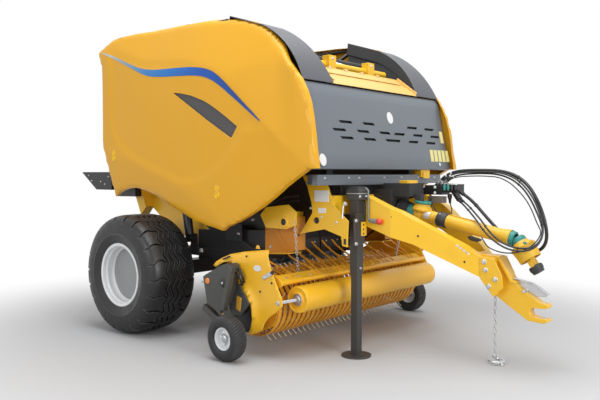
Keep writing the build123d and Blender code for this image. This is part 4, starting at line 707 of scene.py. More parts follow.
def split_large(shape):
    """Splits the faces of more than four corners into triangles, so that they can follow a curve."""
    bmesh.ops.triangulate(shape, faces=[face for face in shape.faces if len(face.verts) > 4])


def thicken(made, thickness, offset):
    """Gives a finished sheet its thickness; -1 grows it inwards, 0 both ways."""
    wall = made.modifiers.new("sheet", "SOLIDIFY")
    wall.thickness = thickness
    wall.offset = offset


def cut_away(made, cutter):
    """Cuts a shape out of a finished piece, and leaves the piece's mesh plain."""
    bmesh.ops.translate(cutter, vec=(0, AXLE_Y, 0), verts=cutter.verts)
    bmesh.ops.recalc_face_normals(cutter, faces=cutter.faces)
    tool = placed("cutter", meshed("cutter", cutter))
    minus = made.modifiers.new("minus", "BOOLEAN")
    minus.object = tool
    minus.operation = "DIFFERENCE"
    minus.solver = "EXACT"
    settle(made)
    bpy.data.objects.remove(tool)


def settle(made):
    """Makes a piece's modifiers part of its mesh."""
    bpy.context.view_layer.update()
    seen = made.evaluated_get(bpy.context.evaluated_depsgraph_get())
    mesh = bpy.data.meshes.new_from_object(seen)
    made.modifiers.clear()
    made.data = mesh


door = flat_sheet(door_outline, -DOOR_X)
ring_edges(door, (0.0015, 0.004, 0.008, 0.009, 0.013))
cut_grid(door, (-2.19, 1.03), (0.78, 2.94), 0.035)
(fold_y0, fold_z0), (fold_y1, fold_z1) = corner_fold
cut(door, (0, fold_y0, fold_z0), (0, fold_z0 - fold_z1, fold_y1 - fold_y0))
lip = fold_lip(door)
FRONT_WRAP = 0.9            # how far the front edge is drawn back as it rolls in
LIP_DEEP, LIP_X = 0.03, -1.06       # the lip's depth, and how far in it reaches at least
TOP_LIP = 0.075             # it reaches this much further in along the top
for v in door.verts:
    inward = door_inward(v.co.y, v.co.z)
    v.co.x = -DOOR_X + inward
    v.co.y += FRONT_WRAP * inward * front_share(v.co.y)
    if v in lip:
        v.co.x = max(v.co.x + LIP_DEEP, LIP_X + TOP_LIP * max(0.0, (v.co.z - 2.3) / 0.64))
split_large(door)

door_yellow = coat("door_yellow", (0.77, 0.385, 0.012), 0.38, (0.9, 0.5, 0.05), drift=0.05, drift_size=0.9,
                   grain=(60, 0.015), radius=0.006, gloss=0.1, specular=0.35, rough_swing=0.05)
doors = pair("door_skin", door, "door_{}", [door_yellow], ["side_door_{}"], slot="door_yellow", smooth=45)

vent_outline = [
    (-0.472, 2.283), (-0.56, 2.273), (-0.641, 2.258), (-0.724, 2.24), (-0.804, 2.214), (-0.885, 2.186),
    (-0.962, 2.152), (-1.05, 2.105), (-1.133, 2.057), (-1.23, 1.996), (-1.325, 1.935), (-1.31, 1.915),
    (-1.262, 1.85), (-1.245, 1.842), (-1.11, 1.915), (-0.961, 1.997), (-0.723, 2.136), (-0.64, 2.184),
]


def drawn_out(shape, face, shift):
    """Draws a face out into a solid by a shift, and gives the corners of its far end."""
    fresh = fresh_corners(bmesh.ops.extrude_face_region(shape, geom=[face], use_keep_orig=True))
    bmesh.ops.translate(shape, vec=shift, verts=fresh)
    return fresh


def slab(shape, outline, x_low, x_high, coat=0):
    """A flat plate that stands fore and aft between two x, from a (y, z) outline."""
    face = shape.faces.new([shape.verts.new((x_low, y, z)) for y, z in outline])
    face.material_index = coat
    paint(drawn_out(shape, face, (x_high - x_low, 0, 0)), coat)


SHEET_THICK = 0.004
for made, side in zip(doors, (-1, 1)):
    thicken(made, SHEET_THICK, -1)
    settle(made)
    cutter = bmesh.new()
    slab(cutter, vent_outline, side * 1.0, side * 1.2)
    cut_away(made, cutter)
    smooth_faces(made.data, 45)

# The grille: a dark punched sheet, set a little behind the skin in a folded frame.
FRAME_BEHIND, MESH_BEHIND = 0.0035, 0.012
grille = flat_sheet(vent_outline, -DOOR_X)
cut_grid(grille, (-1.33, 1.84), (-0.47, 2.29), 0.05)
raised = fold_lip(grille)
for v in grille.verts:
    behind = FRAME_BEHIND if v in raised else MESH_BEHIND
    v.co.x = -DOOR_X + door_inward(v.co.y, v.co.z, rolled=False) + behind
split_large(grille)

# Round holes in staggered rows, drawn rather than cut, as a mask from 0 in a hole to 1 on the web.
punched, ends_in, ends_out = new_group("punched", [("Float", "Pitch", 0.006)], [("Float", "Web")])
split = add_node(punched, "SeparateXYZ", links={0: object_place(punched)})
down = add_node(punched, "CombineXYZ", links={0: split.outputs["Y"], 1: split.outputs["Z"]})
cells = add_node(punched, "Math", {"operation": "DIVIDE"}, {0: 1.0}, {1: ends_in.outputs["Pitch"]})
holes = add_node(
    punched, "TexVoronoi", {"voronoi_dimensions": "2D"}, {"Randomness": 0.12},
    {"Vector": down.outputs[0], "Scale": cells.outputs[0]},
)
web = add_node(
    punched, "MapRange", values={"From Min": 0.3, "From Max": 0.42},
    links={"Value": holes.outputs["Distance"]},
)
punched.links.new(web.outputs[0], ends_out.inputs["Web"])

grille_mesh = coat("grille_mesh", (0.05, 0.045, 0.05), 0.6, drift=0.2, drift_size=20.0, grain=(500, 0.3))
tree = grille_mesh.node_tree
shade = tree.nodes["Principled BSDF"]
web = group_node(tree, punched, {"Pitch": 0.009})
# The holes are coloured near-black as painted shade, standing for the dark space behind them; the web is a dark
# grey.
dark = add_node(
    tree, "Mix", {"data_type": "RGBA"}, {"A": (0.012, 0.011, 0.012, 1), "B": (0.11, 0.1, 0.105, 1)},
    {"Factor": web.outputs["Web"]},
)
tree.links.new(dark.outputs["Result"], shade.inputs["Base Color"])
pair("door_grille", grille, "door_{}", [grille_mesh], smooth=40)

# The stripe: a printed film that fades from a pale grey-blue at the rear to a strong blue at its point.
stripe_top = [
    (0.7, 2.787), (0.579, 2.759), (0.449, 2.71), (0.33, 2.664), (0.22, 2.622), (0.1, 2.577), (-0.02, 2.546),
    (-0.178, 2.525), (-0.335, 2.518), (-0.46, 2.514), (-0.572, 2.509), (-0.68, 2.502), (-0.778, 2.491),
    (-0.87, 2.476), (-0.937, 2.458), (-1.01, 2.43), (-1.09, 2.386), (-1.16, 2.335), (-1.238, 2.271),
    (-1.33, 2.196), (-1.416, 2.125), (-1.51, 2.05), (-1.597, 1.976),
]
stripe_low = [
    (-1.6, 1.962), (-1.51, 2.023), (-1.416, 2.085), (-1.33, 2.146), (-1.237, 2.209), (-1.16, 2.263),
    (-1.089, 2.309), (-1.01, 2.352), (-0.936, 2.382), (-0.86, 2.402), (-0.778, 2.415), (-0.68, 2.424),
    (-0.572, 2.43), (-0.46, 2.437), (-0.334, 2.444), (-0.177, 2.458), (-0.08, 2.475), (0.02, 2.505),
    (0.13, 2.55), (0.249, 2.601), (0.35, 2.643), (0.45, 2.683), (0.579, 2.734), (0.7, 2.781),
]
STRIPE_PROUD = 0.0028
stripe = flat_sheet(stripe_top + stripe_low, -DOOR_X)
cut_grid(stripe, (-1.6, 1.96), (0.7, 2.79), 0.025)
for v in stripe.verts:
    v.co.x = -DOOR_X + door_inward(v.co.y, v.co.z, rolled=False) - STRIPE_PROUD
split_large(stripe)

# A colour that runs from one tone to another along the machine.
fore_aft, ends_in, ends_out = new_group(
    "fore_aft", [("Float", "Front", -0.2), ("Float", "Rear", 1.8)], [("Float", "Share")],
)
split = add_node(fore_aft, "SeparateXYZ", links={0: object_place(fore_aft)})
share = add_node(
    fore_aft, "MapRange", links={
        "Value": split.outputs["Y"], "From Min": ends_in.outputs["Front"], "From Max": ends_in.outputs["Rear"],
    },
)
fore_aft.links.new(share.outputs[0], ends_out.inputs["Share"])

stripe_blue = coat("stripe_blue", (0.008, 0.078, 0.37), 0.46, specular=0.3, grain=(60, 0.01), radius=0.001)
tree = stripe_blue.node_tree
along = group_node(tree, fore_aft, {"Front": -0.45, "Rear": 1.8})
tones = add_node(tree, "ValToRGB", links={"Fac": along.outputs["Share"]})
ramp = tones.color_ramp
ramp.elements[0].color = (0.018, 0.085, 0.3, 1)
ramp.elements[1].color = (0.62, 0.6, 0.52, 1)
for at, tone in ((0.3, (0.016, 0.085, 0.38, 1)), (0.52, (0.022, 0.17, 0.52, 1)), (0.68, (0.05, 0.22, 0.5, 1)),
                 (0.84, (0.27, 0.36, 0.46, 1))):
    ramp.elements.new(at).color = tone
tree.links.new(tones.outputs["Color"], tree.nodes["Principled BSDF"].inputs["Base Color"])
pair("door_stripe", stripe, "door_{}", [stripe_blue], smooth=60)

# Flush latches: two in each door, a bright moulded surround with a turn button in it.
latches = bmesh.new()
for y, z, height in ((0.49, 1.72, 0.1), (-1.072, 1.378, 0.115)):
    x = -DOOR_X + door_inward(y, z, rolled=False)
    for up, radius in ((height * 0.26, 0.023), (-height * 0.26, 0.027)):
        turned(latches, [
            (0.004, radius + 0.004), (-0.003, radius + 0.003), (-0.0045, radius), (-0.003, radius - 0.004),
            (0.003, radius - 0.006), (0.004, radius - 0.01), (-0.002, radius - 0.012), (-0.003, 0),
        ], (x, y, z + up), steps=28)
latch_yellow = coat("latch_yellow", (0.92, 0.58, 0.015), 0.35, radius=0.002, drift=0.05)
pair("door_latches", latches, "door_{}", [latch_yellow], smooth=40)

# ---- front hood ------------------------------------------------------
# The hood that closes the machine's front: one slate-grey pressed panel with a folded rim, hinged along its
# top. Fifteen slanted air slots are punched through it, and it carries a few small blank plates.
HOOD_HALF = 1.088
HOOD_LONG = 0.7205
hood_place = Matrix((
    (1, 0, 0, 0), (0, -0.2026, 0.9793, -1.997), (0, -0.9793, -0.2026, 2.283), (0, 0, 0, 1),
))
HOOD_ROLL = 0.03           # radius of its rolled edges
HOOD_CROWN, CROWN_AT = 0.012, 0.36     # height of its gentle crown, and how far down that is
HOOD_LIP = 0.03


def hood_crown(x, s):
    """How far the hood's skin bulges at a place across it and down it."""
    return HOOD_CROWN * (1 - (x / HOOD_HALF) ** 2) * max(0.0, 1 - (s / CROWN_AT - 1) ** 2)


hood = bmesh.new()
ends = [(-HOOD_HALF, 0.0), (HOOD_HALF, 0.0), (HOOD_HALF, HOOD_LONG), (-HOOD_HALF, HOOD_LONG)]
hood.faces.new([hood.verts.new((x, s, 0)) for x, s in ends])
bmesh.ops.bevel(
    hood, geom=hood.verts[:], affect="VERTICES", offset=0.035, segments=4, profile=0.5, material=-1,
)
ring_edges(hood, (0.002, 0.005, 0.009, 0.014))
for i in range(1, 24):
    cut(hood, (2 * HOOD_HALF * i / 24 - HOOD_HALF, 0, 0), (1, 0, 0))
for i in range(1, 12):
    cut(hood, (0, HOOD_LONG * i / 12, 0), (0, 1, 0))
lip = fold_lip(hood)
for v in hood.verts:
    x, s = v.co.x, v.co.y
    near = max(0.0, min(HOOD_ROLL, HOOD_HALF - abs(x), s, HOOD_LONG - s))
    roll = HOOD_ROLL - (HOOD_ROLL**2 - (HOOD_ROLL - near) ** 2) ** 0.5
    v.co.z = roll * 0.7 - hood_crown(x, s) + (HOOD_LIP if v in lip else 0)
bmesh.ops.transform(hood, matrix=hood_place, verts=hood.verts)
hood_grey = coat("hood_grey", (0.14, 0.16, 0.184), 0.36, (0.22, 0.24, 0.26), drift=0.1, drift_size=0.7,
                 grain=(80, 0.02), radius=0.005, gloss=0.1, rough_swing=0.06)
hood_skin = piece("hood_skin", hood, "hood", [hood_grey], ["front_hood"], slot="panel_grey", smooth=45)
thicken(hood_skin, SHEET_THICK, -1)
settle(hood_skin)

# Slots: (middle, how far down, length); those on the left lean the other way.
slots = [
    (-0.589, 0.324, 0.168), (-0.264, 0.324, 0.163), (0.444, 0.325, 0.17), (0.762, 0.325, 0.172),
    (-0.692, 0.395, 0.164), (-0.362, 0.396, 0.164), (-0.035, 0.396, 0.158), (0.207, 0.397, 0.17),
    (0.529, 0.395, 0.168), (0.853, 0.395, 0.168), (-0.604, 0.461, 0.164), (-0.279, 0.463, 0.166),
    (0.081, 0.462, 0.228), (0.43, 0.462, 0.166), (0.755, 0.462, 0.172),
]
SLOT_HALF = 0.0115          # half a slot's height
SLOT_SLANT = 0.011          # how far each end leans
LONG_SLOT, FOOT_IN = 0.2, 0.004     # the one longer than this narrows towards its foot by so much
cutter = bmesh.new()
for middle, down, length in slots:
    left, right = middle - length / 2, middle + length / 2
    top, foot = down - SLOT_HALF, down + SLOT_HALF
    slant = SLOT_SLANT if middle < 0 else -SLOT_SLANT
    corners = [(left - slant, top), (right - slant, top), (right + slant, foot), (left + slant, foot)]
    if length > LONG_SLOT:
        slant = SLOT_SLANT
        corners = [(left - slant, top), (right + slant, top), (right - FOOT_IN, foot), (left + slant, foot)]
    face = cutter.faces.new([cutter.verts.new((x, s, -0.05)) for x, s in corners])
    drawn_out(cutter, face, (0, 0, 0.1))
bmesh.ops.transform(cutter, matrix=hood_place, verts=cutter.verts)
cut_away(hood_skin, cutter)
smooth_faces(hood_skin.data, 45)

# A near-black sheet with a fine grain lies just behind the slots, so that they show dark: painted shade.
slot_shade_sheet = bmesh.new()
bmesh.ops.create_grid(slot_shade_sheet, x_segments=20, y_segments=8, size=0.5)
bmesh.ops.scale(slot_shade_sheet, vec=(1.96, 0.36, 1), verts=slot_shade_sheet.verts)
bmesh.ops.translate(slot_shade_sheet, vec=(0, 0.39, 0.018), verts=slot_shade_sheet.verts)
bmesh.ops.transform(slot_shade_sheet, matrix=hood_place, verts=slot_shade_sheet.verts)
slot_shade_black = coat("slot_shade_black", (0.012, 0.012, 0.013), 0.7, drift=0.3, grain=(600, 0.4))
piece("hood_slot_shade", slot_shade_sheet, "hood", [slot_shade_black])

# Blank plates: two white ovals, five pale-yellow strips over a white dot, and one more strip.
plates = bmesh.new()
PLATE_THICK, PLATE_PROUD = 0.0015, 0.0004
discs = [(0.088, 0.249, 0.047, 0.055, 40), (-0.966, 0.652, 0.042, 0.05, 40), (0.864, 0.672, 0.016, 0.016, 24)]
strips = [(0.735 + 0.076 * i, 0.588, 0.029, 0.058, 0) for i in range(5)] + [(0.985, 0.395, 0.03, 0.06, 0)]
for x, s, half_x, half_s, sides in discs + strips:
    if sides:
        made = bmesh.ops.create_circle(plates, cap_ends=True, segments=sides, radius=1)["verts"]
    else:
        made = bmesh.ops.create_grid(plates, x_segments=1, y_segments=1, size=1)["verts"]
    bmesh.ops.scale(plates, vec=(half_x, half_s, 1), verts=made)
    bmesh.ops.translate(plates, vec=(x, s, 0), verts=made)
    paint(made, 0 if sides else 1)
raised = fresh_corners(bmesh.ops.extrude_face_region(plates, geom=plates.faces[:]))
bmesh.ops.translate(plates, vec=(0, 0, -PLATE_THICK), verts=raised)
for v in plates.verts:
    v.co.z += -PLATE_PROUD - hood_crown(v.co.x, v.co.y)
bmesh.ops.transform(plates, matrix=hood_place, verts=plates.verts)
plate_white = coat("plate_white", (0.78, 0.78, 0.76), 0.4, radius=0.001, drift=0.08, drift_size=12.0)
plate_yellow = coat("plate_yellow", (0.8, 0.72, 0.28), 0.4, radius=0.001, drift=0.15, drift_size=40.0)
piece("hood_plates", plates, "hood", [plate_white, plate_yellow])

# ---- shoulders and roof ----------------------------------------------
# Curved slate-grey moulded shoulders stand either side of a yellow folded roof sheet, which is bolted along
# its fold. Behind it the chamber is open to the belts, between near-black side sheets that are painted shade.


def finish(coat_used, *nodes):
    """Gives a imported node, whose shape is kept, its finish."""
    for node in nodes:
        slots_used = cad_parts[node].data.materials
        slots_used.clear()
        slots_used.append(coat_used)


shoulder_grey = coat("shoulder_grey", (0.082, 0.085, 0.098), 0.42, (0.2, 0.21, 0.23), drift=0.1,
                     drift_size=1.2, grain=(300, 0.1), radius=0.006, rough_swing=0.08)
finish(shoulder_grey, "shoulder_panel_right", "shoulder_panel_left")
# The shoulders' inner faces, towards the chamber, are coloured near-black as painted shade on their shaded
# side.
tree = shoulder_grey.node_tree
shade = tree.nodes["Principled BSDF"]
facing = add_node(tree, "NewGeometry")
inward_x = add_node(tree, "SeparateXYZ", links={"Vector": facing.outputs["True Normal"]})
place_x = add_node(tree, "SeparateXYZ", links={"Vector": object_place(tree)})
product = add_node(
    tree, "Math", {"operation": "MULTIPLY"}, links={0: inward_x.outputs[0], 1: place_x.outputs[0]},
)
FACING_IN = -0.3           # a face's outward share of x, times its x, below this on the inner faces
shade_side_mask = add_node(tree, "Math", {"operation": "LESS_THAN"}, {1: FACING_IN}, {0: product.outputs[0]})
painted = shade.inputs["Base Color"].links[0].from_socket
painted_shade_side = add_node(
    tree, "Mix", {"data_type": "RGBA"}, {"B": (0.014, 0.014, 0.015, 1)},
    {"Factor": shade_side_mask.outputs[0], "A": painted},
)
tree.links.new(painted_shade_side.outputs["Result"], shade.inputs["Base Color"])


def block(shape, low, high, coat=0):
    """A rectangular block between two corners."""
    made = bmesh.ops.create_cube(shape, size=1)["verts"]
    bmesh.ops.scale(shape, vec=[b - a for a, b in zip(low, high)], verts=made)
    bmesh.ops.translate(shape, vec=[(a + b) / 2 for a, b in zip(low, high)], verts=made)
    paint(made, coat)
    return made


def bar(shape, start, end, wide, high, coat=0, up=(0, 0, 1)):
    """A rectangular bar between two points, with its height towards up."""
    start, end = Vector(start), Vector(end)
    along = (end - start).normalized()
    across = along.cross(Vector(up)).normalized()
    upright = across.cross(along)
    made = bmesh.ops.create_cube(shape, size=1)["verts"]
    bmesh.ops.scale(shape, vec=(wide, (end - start).length, high), verts=made)
    turn = Matrix((across, along, upright)).transposed().to_4x4()
    turn.translation = (start + end) / 2
    bmesh.ops.transform(shape, matrix=turn, verts=made)
    paint(made, coat)
    return made


def rod(shape, start, end, radius, sides=20, coat=0, end_radius=None):
    """A round bar between two points, or a cone."""
    start, end = Vector(start), Vector(end)
    turn = (end - start).to_track_quat("Z", "Y").to_matrix().to_4x4()
    turn.translation = (start + end) / 2
    made = bmesh.ops.create_cone(
        shape, cap_ends=True, segments=sides, radius1=radius, depth=(end - start).length, matrix=turn,
        radius2=radius if end_radius is None else end_radius,
    )["verts"]
    paint(made, coat)
    return made


def bolt(shape, place, along, size, coat=0):
    """A washer and a hexagon head, standing on a face and pointing along its normal."""
    place, along = Vector(place), Vector(along).normalized()
    rod(shape, place - along * size * 0.2, place + along * size * 0.16, size, 16, coat)
    rod(shape, place + along * size * 0.1, place + along * size * 0.75, size * 0.8, 6, coat, size * 0.74)


roof = bmesh.new()
ROOF_HALF = 0.654
roof_line = [
    (-1.993, 2.2895), (-1.905, 2.348), (-1.822, 2.405), (-1.76, 2.448), (-1.745, 2.47), (-1.73, 2.474),
]
for (y0, z0), (y1, z1) in zip(roof_line, roof_line[1:]):
    bar(roof, (0, y0, z0), (0, y1, z1), 2 * ROOF_HALF, 0.005)
bar(roof, (0, -1.835, 2.408), (0, -1.76, 2.458), 2 * ROOF_HALF - 0.06, 0.006)
for x in (-ROOF_HALF + 0.003, ROOF_HALF - 0.003):
    bar(roof, (x, -1.985, 2.303), (x, -1.76, 2.468), 0.006, 0.045)
for i in range(9):
    bolt(roof, (-0.56 + 0.14 * i, -1.826, 2.4045), (0, -0.57, 0.82), 0.009, 1)
for x in (-0.44, -0.2, 0.05, 0.3):
    block(roof, (x, -1.765, 2.44), (x + 0.045, -1.74, 2.482))
    bolt(roof, (x + 0.022, -1.765, 2.466), (0, -1, 0.1), 0.008, 1)
frame_yellow = coat("frame_yellow", (0.86, 0.5, 0.018), 0.36, (0.95, 0.66, 0.1), drift=0.08, drift_size=1.8,
                    grain=(160, 0.06), radius=0.004, gloss=0.12)
# The roof sheet's paler, whiter yellow and its near-white edges are a painted sheen of reflected light on the
# yellow paint.
roof_painted_sheen = coat("roof_painted_sheen", (0.76, 0.46, 0.13), 0.4, (0.98, 0.85, 0.4), drift=0.06, drift_size=2.0,
                   grain=(160, 0.05), radius=0.003)
piece("roof_sheet", roof, "root", [roof_painted_sheen, zinc], ["roof_cover"], slot="body_yellow", bevel=0.0015)

# Near-black sheets inside the shoulders, over their inner walls where shade falls: painted shade.
inside = bmesh.new()
shade_sheet_outline = [
    (-1.975, 2.285), (-1.905, 2.405), (-1.8, 2.52), (-1.64, 2.67), (-1.48, 2.765), (-1.28, 2.84),
    (-1.08, 2.895), (-1.08, 2.7), (-1.35, 2.56), (-1.72, 2.33), (-1.9, 2.21),
]
SHADE_SHEET_X, SHADE_SHEET_LEAN = -0.655, 0.135 / 0.64       # it leans out with the shoulder, by this much a metre
corners = [(SHADE_SHEET_X - SHADE_SHEET_LEAN * (z - 2.285), y, z) for y, z in shade_sheet_outline]
face = inside.faces.new([inside.verts.new(place) for place in corners])
drawn_out(inside, face, (SHEET_THICK, 0, 0))
pair("roof_liner", inside, "root", [black_paint])

# Behind the roof sheet: the hood's yellow cross tube and its mounts, and a black tube above the belts.
works = bmesh.new()
rod(works, (-0.6, -1.64, 2.52), (0.6, -1.64, 2.52), 0.03, 24)
for x in (-0.3, 0.3):
    block(works, (x - 0.05, -1.7, 2.45), (x + 0.05, -1.62, 2.6))
    bolt(works, (x, -1.7, 2.57), (0, -1, 0), 0.014, 1)
rod(works, (-0.61, -1.45, 2.6), (0.61, -1.45, 2.6), 0.036, 24, 2)
for x in (-0.45, 0, 0.45):
    rod(works, (x, -1.45, 2.6), (x, -1.66, 2.53), 0.012, 12, 1)
piece("roof_works", works, "root", [frame_yellow, zinc, black_paint], bevel=0.002)

# ---- chassis, axle and front frame -----------------------------------
# The chamber walls and axle are welded steel, sprayed black. The front frame bolts on ahead of them: a cross
# beam between two hook plates, with an eye plate and a folded bracket outboard of each, sprayed yellow.
finish(black_paint, "chassis_wall_right", "chassis_wall_left", "axle")
finish(frame_yellow, "front_frame")


def ring(radius, sides=8):
    """The corners of a round section."""
    return [(radius * cos(2 * pi * i / sides), radius * sin(2 * pi * i / sides)) for i in range(sides)]


def strip(wide, thick):
    """The corners of a flat section, from half its width and half its thickness."""
    return [(-wide, -thick), (wide, -thick), (wide, thick), (-wide, thick)]


def sweep(shape, section, line, coat=0, across=None, taper=None):
    """Carries a section of (sideways, upwards) corners along a line of points, as bent bar or wire is."""
    line = [Vector(point) for point in line]
    looped = (line[0] - line[-1]).length < 1e-6
    runs = [(b - a).normalized() for a, b in zip(line, line[1:])]
    heads = [runs[0]] + [(a + b).normalized() for a, b in zip(runs, runs[1:])] + [runs[-1]]
    if looped:
        heads[0] = heads[-1] = (runs[0] + runs[-1]).normalized()
    side = Vector(across) if across else heads[0].orthogonal()
    face, fresh = None, []
    for i, (point, head) in enumerate(zip(line, heads)):
        side = (side - head * side.dot(head)).normalized()
        rise = side.cross(head)
        size = taper[i] if taper else 1.0
        places = [point + side * u * size + rise * v * size for u, v in section]
        if face is None:
            face = shape.faces.new([shape.verts.new(place) for place in places])
            first = face
            fresh += face.verts[:]
            continue
        grown = bmesh.ops.extrude_face_region(shape, geom=[face], use_keep_orig=face is first)["geom"]
        face = next(item for item in grown if isinstance(item, bmesh.types.BMFace))
        for v, place in zip(face.verts, places):
            v.co = place
        fresh += face.verts[:]
    if looped:
        bmesh.ops.delete(shape, geom=[first, face], context="FACES_ONLY")
        bmesh.ops.remove_doubles(shape, verts=fresh, dist=1e-5)
        fresh = [v for v in fresh if v.is_valid]
    paint(fresh, coat)
    return fresh


# The brackets' plates are yellow like the frame; they are coloured a darker orange here as painted shade.
painted_shade_orange = coat("painted_shade_orange", (0.6, 0.235, 0.012), 0.42, (0.75, 0.36, 0.04), drift=0.15, drift_size=3.0,
                    grain=(160, 0.08), radius=0.003)
YELLOW_ON, BLACK_ON, ZINC_ON, WHITE_ON = 1, 2, 3, 4      # places in the bracket's list of finishes
brackets = bmesh.new()
bracket_line = [(-1.296, 1.144), (-1.644, 1.159), (-1.644, 0.865), (-1.61, 0.846), (-1.296, 0.822)]
slab(brackets, bracket_line, -0.758, -0.75)
slab(brackets, [(-1.296, 0.822), (-1.61, 0.846), (-1.61, 0.838), (-1.296, 0.814)], -0.8, -0.622, YELLOW_ON)
block(brackets, (-0.758, -1.652, 0.865), (-0.622, -1.644, 1.159))
block(brackets, (-0.758, -1.3, 0.822), (-0.622, -1.292, 1.144))
arm_line = [(-0.761, -1.42, 1.13), (-0.763, -1.44, 1.02), (-0.763, -1.5, 0.93), (-0.761, -1.56, 0.86)]
sweep(brackets, strip(0.02, 0.003), arm_line, 0, (0, 1, 0))
BUSH = (-0.858, -1.616, 1.121)
turned(brackets, [(-0.012, 0.03), (-0.012, 0.046), (-0.007, 0.05), (0, 0.05)], BUSH, steps=40, coat=YELLOW_ON)
turned(brackets, [(-0.0025, 0), (-0.0025, 0.031), (0, 0.033)], BUSH, steps=40, coat=BLACK_ON)
block(brackets, (-0.7285, -2, 1.298), (-0.7255, -1.842, 1.394), WHITE_ON)
block(brackets, (-0.7285, -1.968, 1.203), (-0.7255, -1.885, 1.246), WHITE_ON)
turned(brackets, [(-0.004, 0), (-0.004, 0.02), (-0.006, 0.023), (-0.004, 0.027), (0, 0.028)],
       (-0.726, -1.867, 1.138), steps=32, coat=BLACK_ON)
for x, size, places in (
    (-0.758, 0.013, ((-1.36, 1.1), (-1.36, 0.88), (-1.59, 1.1))),
    (-0.726, 0.011, ((-1.76, 1.45), (-2.08, 1.13), (-1.92, 1.17), (-1.8, 1.24))),
):
    for y, z in places:
        bolt(brackets, (x, y, z), (-1, 0, 0), size, ZINC_ON)
sweep(brackets, strip(0.013, 0.001), [(-0.7265, -2.168, 0.952), (-0.7265, -2.168, 1)], BLACK_ON, (0, 1, 0))
bolt(brackets, (-0.7, -2.15, 1.285), (0, -1, 0), 0.02, ZINC_ON)
rod(brackets, (-0.712, -2.14, 1.27), (-0.738, -2.15, 1.165), 0.006, 12, ZINC_ON)
pair("front_bracket", brackets, "root", [painted_shade_orange, frame_yellow, black_paint, zinc, plate_white],
     bevel=0.0015)

# A black folded sheet closes the front of the intake, over the feed rotor.
cover = bmesh.new()
cover_line = [(-1.1, 1.045), (-1.17, 1.03), (-1.215, 0.985), (-1.235, 0.9), (-1.24, 0.8), (-1.234, 0.75)]
sweep(cover, strip(0.6, 0.003), [(0, y, z) for y, z in cover_line], 0, (1, 0, 0))
for i in range(7):
    bolt(cover, (-0.54 + 0.18 * i, -1.239, 0.86), (0, -1, 0), 0.01, 1)
for x in (-0.4, 0.1, 0.45):
    sweep(cover, strip(0.016, 0.006), [(x, y - 0.008, z) for y, z in cover_line[2:]], 0, (1, 0, 0))
piece("intake_cover", cover, "root", [black_paint, zinc], bevel=0.001)

# Black guard sheets and the pipework on them fill the space between each chamber wall and its door.
works = bmesh.new()
guard_sheet = [(-0.3, 0.68), (-1.08, 0.68), (-1.15, 0.75), (-1.26, 0.75), (-1.26, 1.02), (-0.3, 0.98)]
slab(works, guard_sheet, -0.69, -0.684)
block(works, (-0.74, -0.97, 0.9), (-0.69, -0.75, 1.06))
block(works, (-0.72, -1.2, 1.22), (-0.66, -1.04, 1.34))
for z, drop in ((1.3, 0.05), (1.26, 0.08), (0.96, 0.12)):
    pipe_line = [(-0.715, -1.66, z + 0.04), (-0.725, -1.5, z + 0.02), (-0.728, -1.3, z - drop),
                 (-0.728, -1.1, z - drop), (-0.722, -0.9, z - 0.02), (-0.71, -0.72, z)]
    sweep(works, ring(0.01), pipe_line)
plug = [(-0.016, 0), (-0.016, 0.014), (0.016, 0.014), (0.016, 0)]
for y, z in ((-1.3, 1.16), (-1.12, 1.11), (-0.93, 0.97)):
    turned(works, plug, (-0.732, y, z), (0, 1, 0), 16, 1)
block(works, (-0.726, -0.385, 0.755), (-0.69, -0.3, 0.79), 2)
pair("side_works", works, "root", [black_paint, zinc, plate_white], bevel=0.0015)

# The blue-grey beam under the hood, and the two small yellow brackets hung from it.
finish(hood_grey, "hood_beam")
beam = bmesh.new()
for x in (-0.88, -0.557, -0.409, -0.032, 0.25, 0.55, 0.85):
    bolt(beam, (x, -2.08, 1.498), (0, -1, 0), 0.012, 1)
for low, high in (
    ((0.57, -2.1, 1.5), (0.73, -2.03, 1.57)), ((0.59, -2.115, 1.488), (0.7, -2.1, 1.55)),
    ((-0.06, -2.34, 1.4), (0.12, -2.26, 1.475)), ((-0.03, -2.36, 1.405), (0.09, -2.34, 1.455)),
):
    block(beam, low, high)
slab(beam, [(-2.02, 1.44), (-2.12, 1.44), (-2.12, 1.434), (-2.02, 1.434)], -0.62, 0.66, 2)
block(beam, (-0.62, -2.045, 1.352), (0.66, -2.04, 1.436), 2)
block(beam, (-0.405, -2.087, 1.5), (0.3, -2.081, 1.521), 3)
piece("beam_fittings", beam, "root", [frame_yellow, zinc, black_paint, hood_grey], bevel=0.002)

# ---- rollers, feed rotor and tailgate rams ---------------------------
# Bare steel rollers worn bright by the belts, a welded rotor with hardened teeth, and two hydraulic rams:
# black-painted barrels with hard-chromed rods.
roller_steel = coat("roller_steel", (0.36, 0.37, 0.39), 0.3, (0.6, 0.6, 0.62), metallic=0.9, drift=0.25,
                    drift_size=6.0, grain=(220, 0.1), radius=0.002, rough_swing=0.25)
chrome = coat("chrome", (0.72, 0.73, 0.75), 0.1, metallic=1.0, drift=0.03, radius=0.001, rough_swing=0.05)
finish(roller_steel, "front_rollers", "tailgate_rollers", "feed_rotor")
finish(black_paint, "cylinder_bracket_right", "cylinder_bracket_left", "gate_barrel_right", "gate_barrel_left")
finish(chrome, "gate_rod_right", "gate_rod_left")

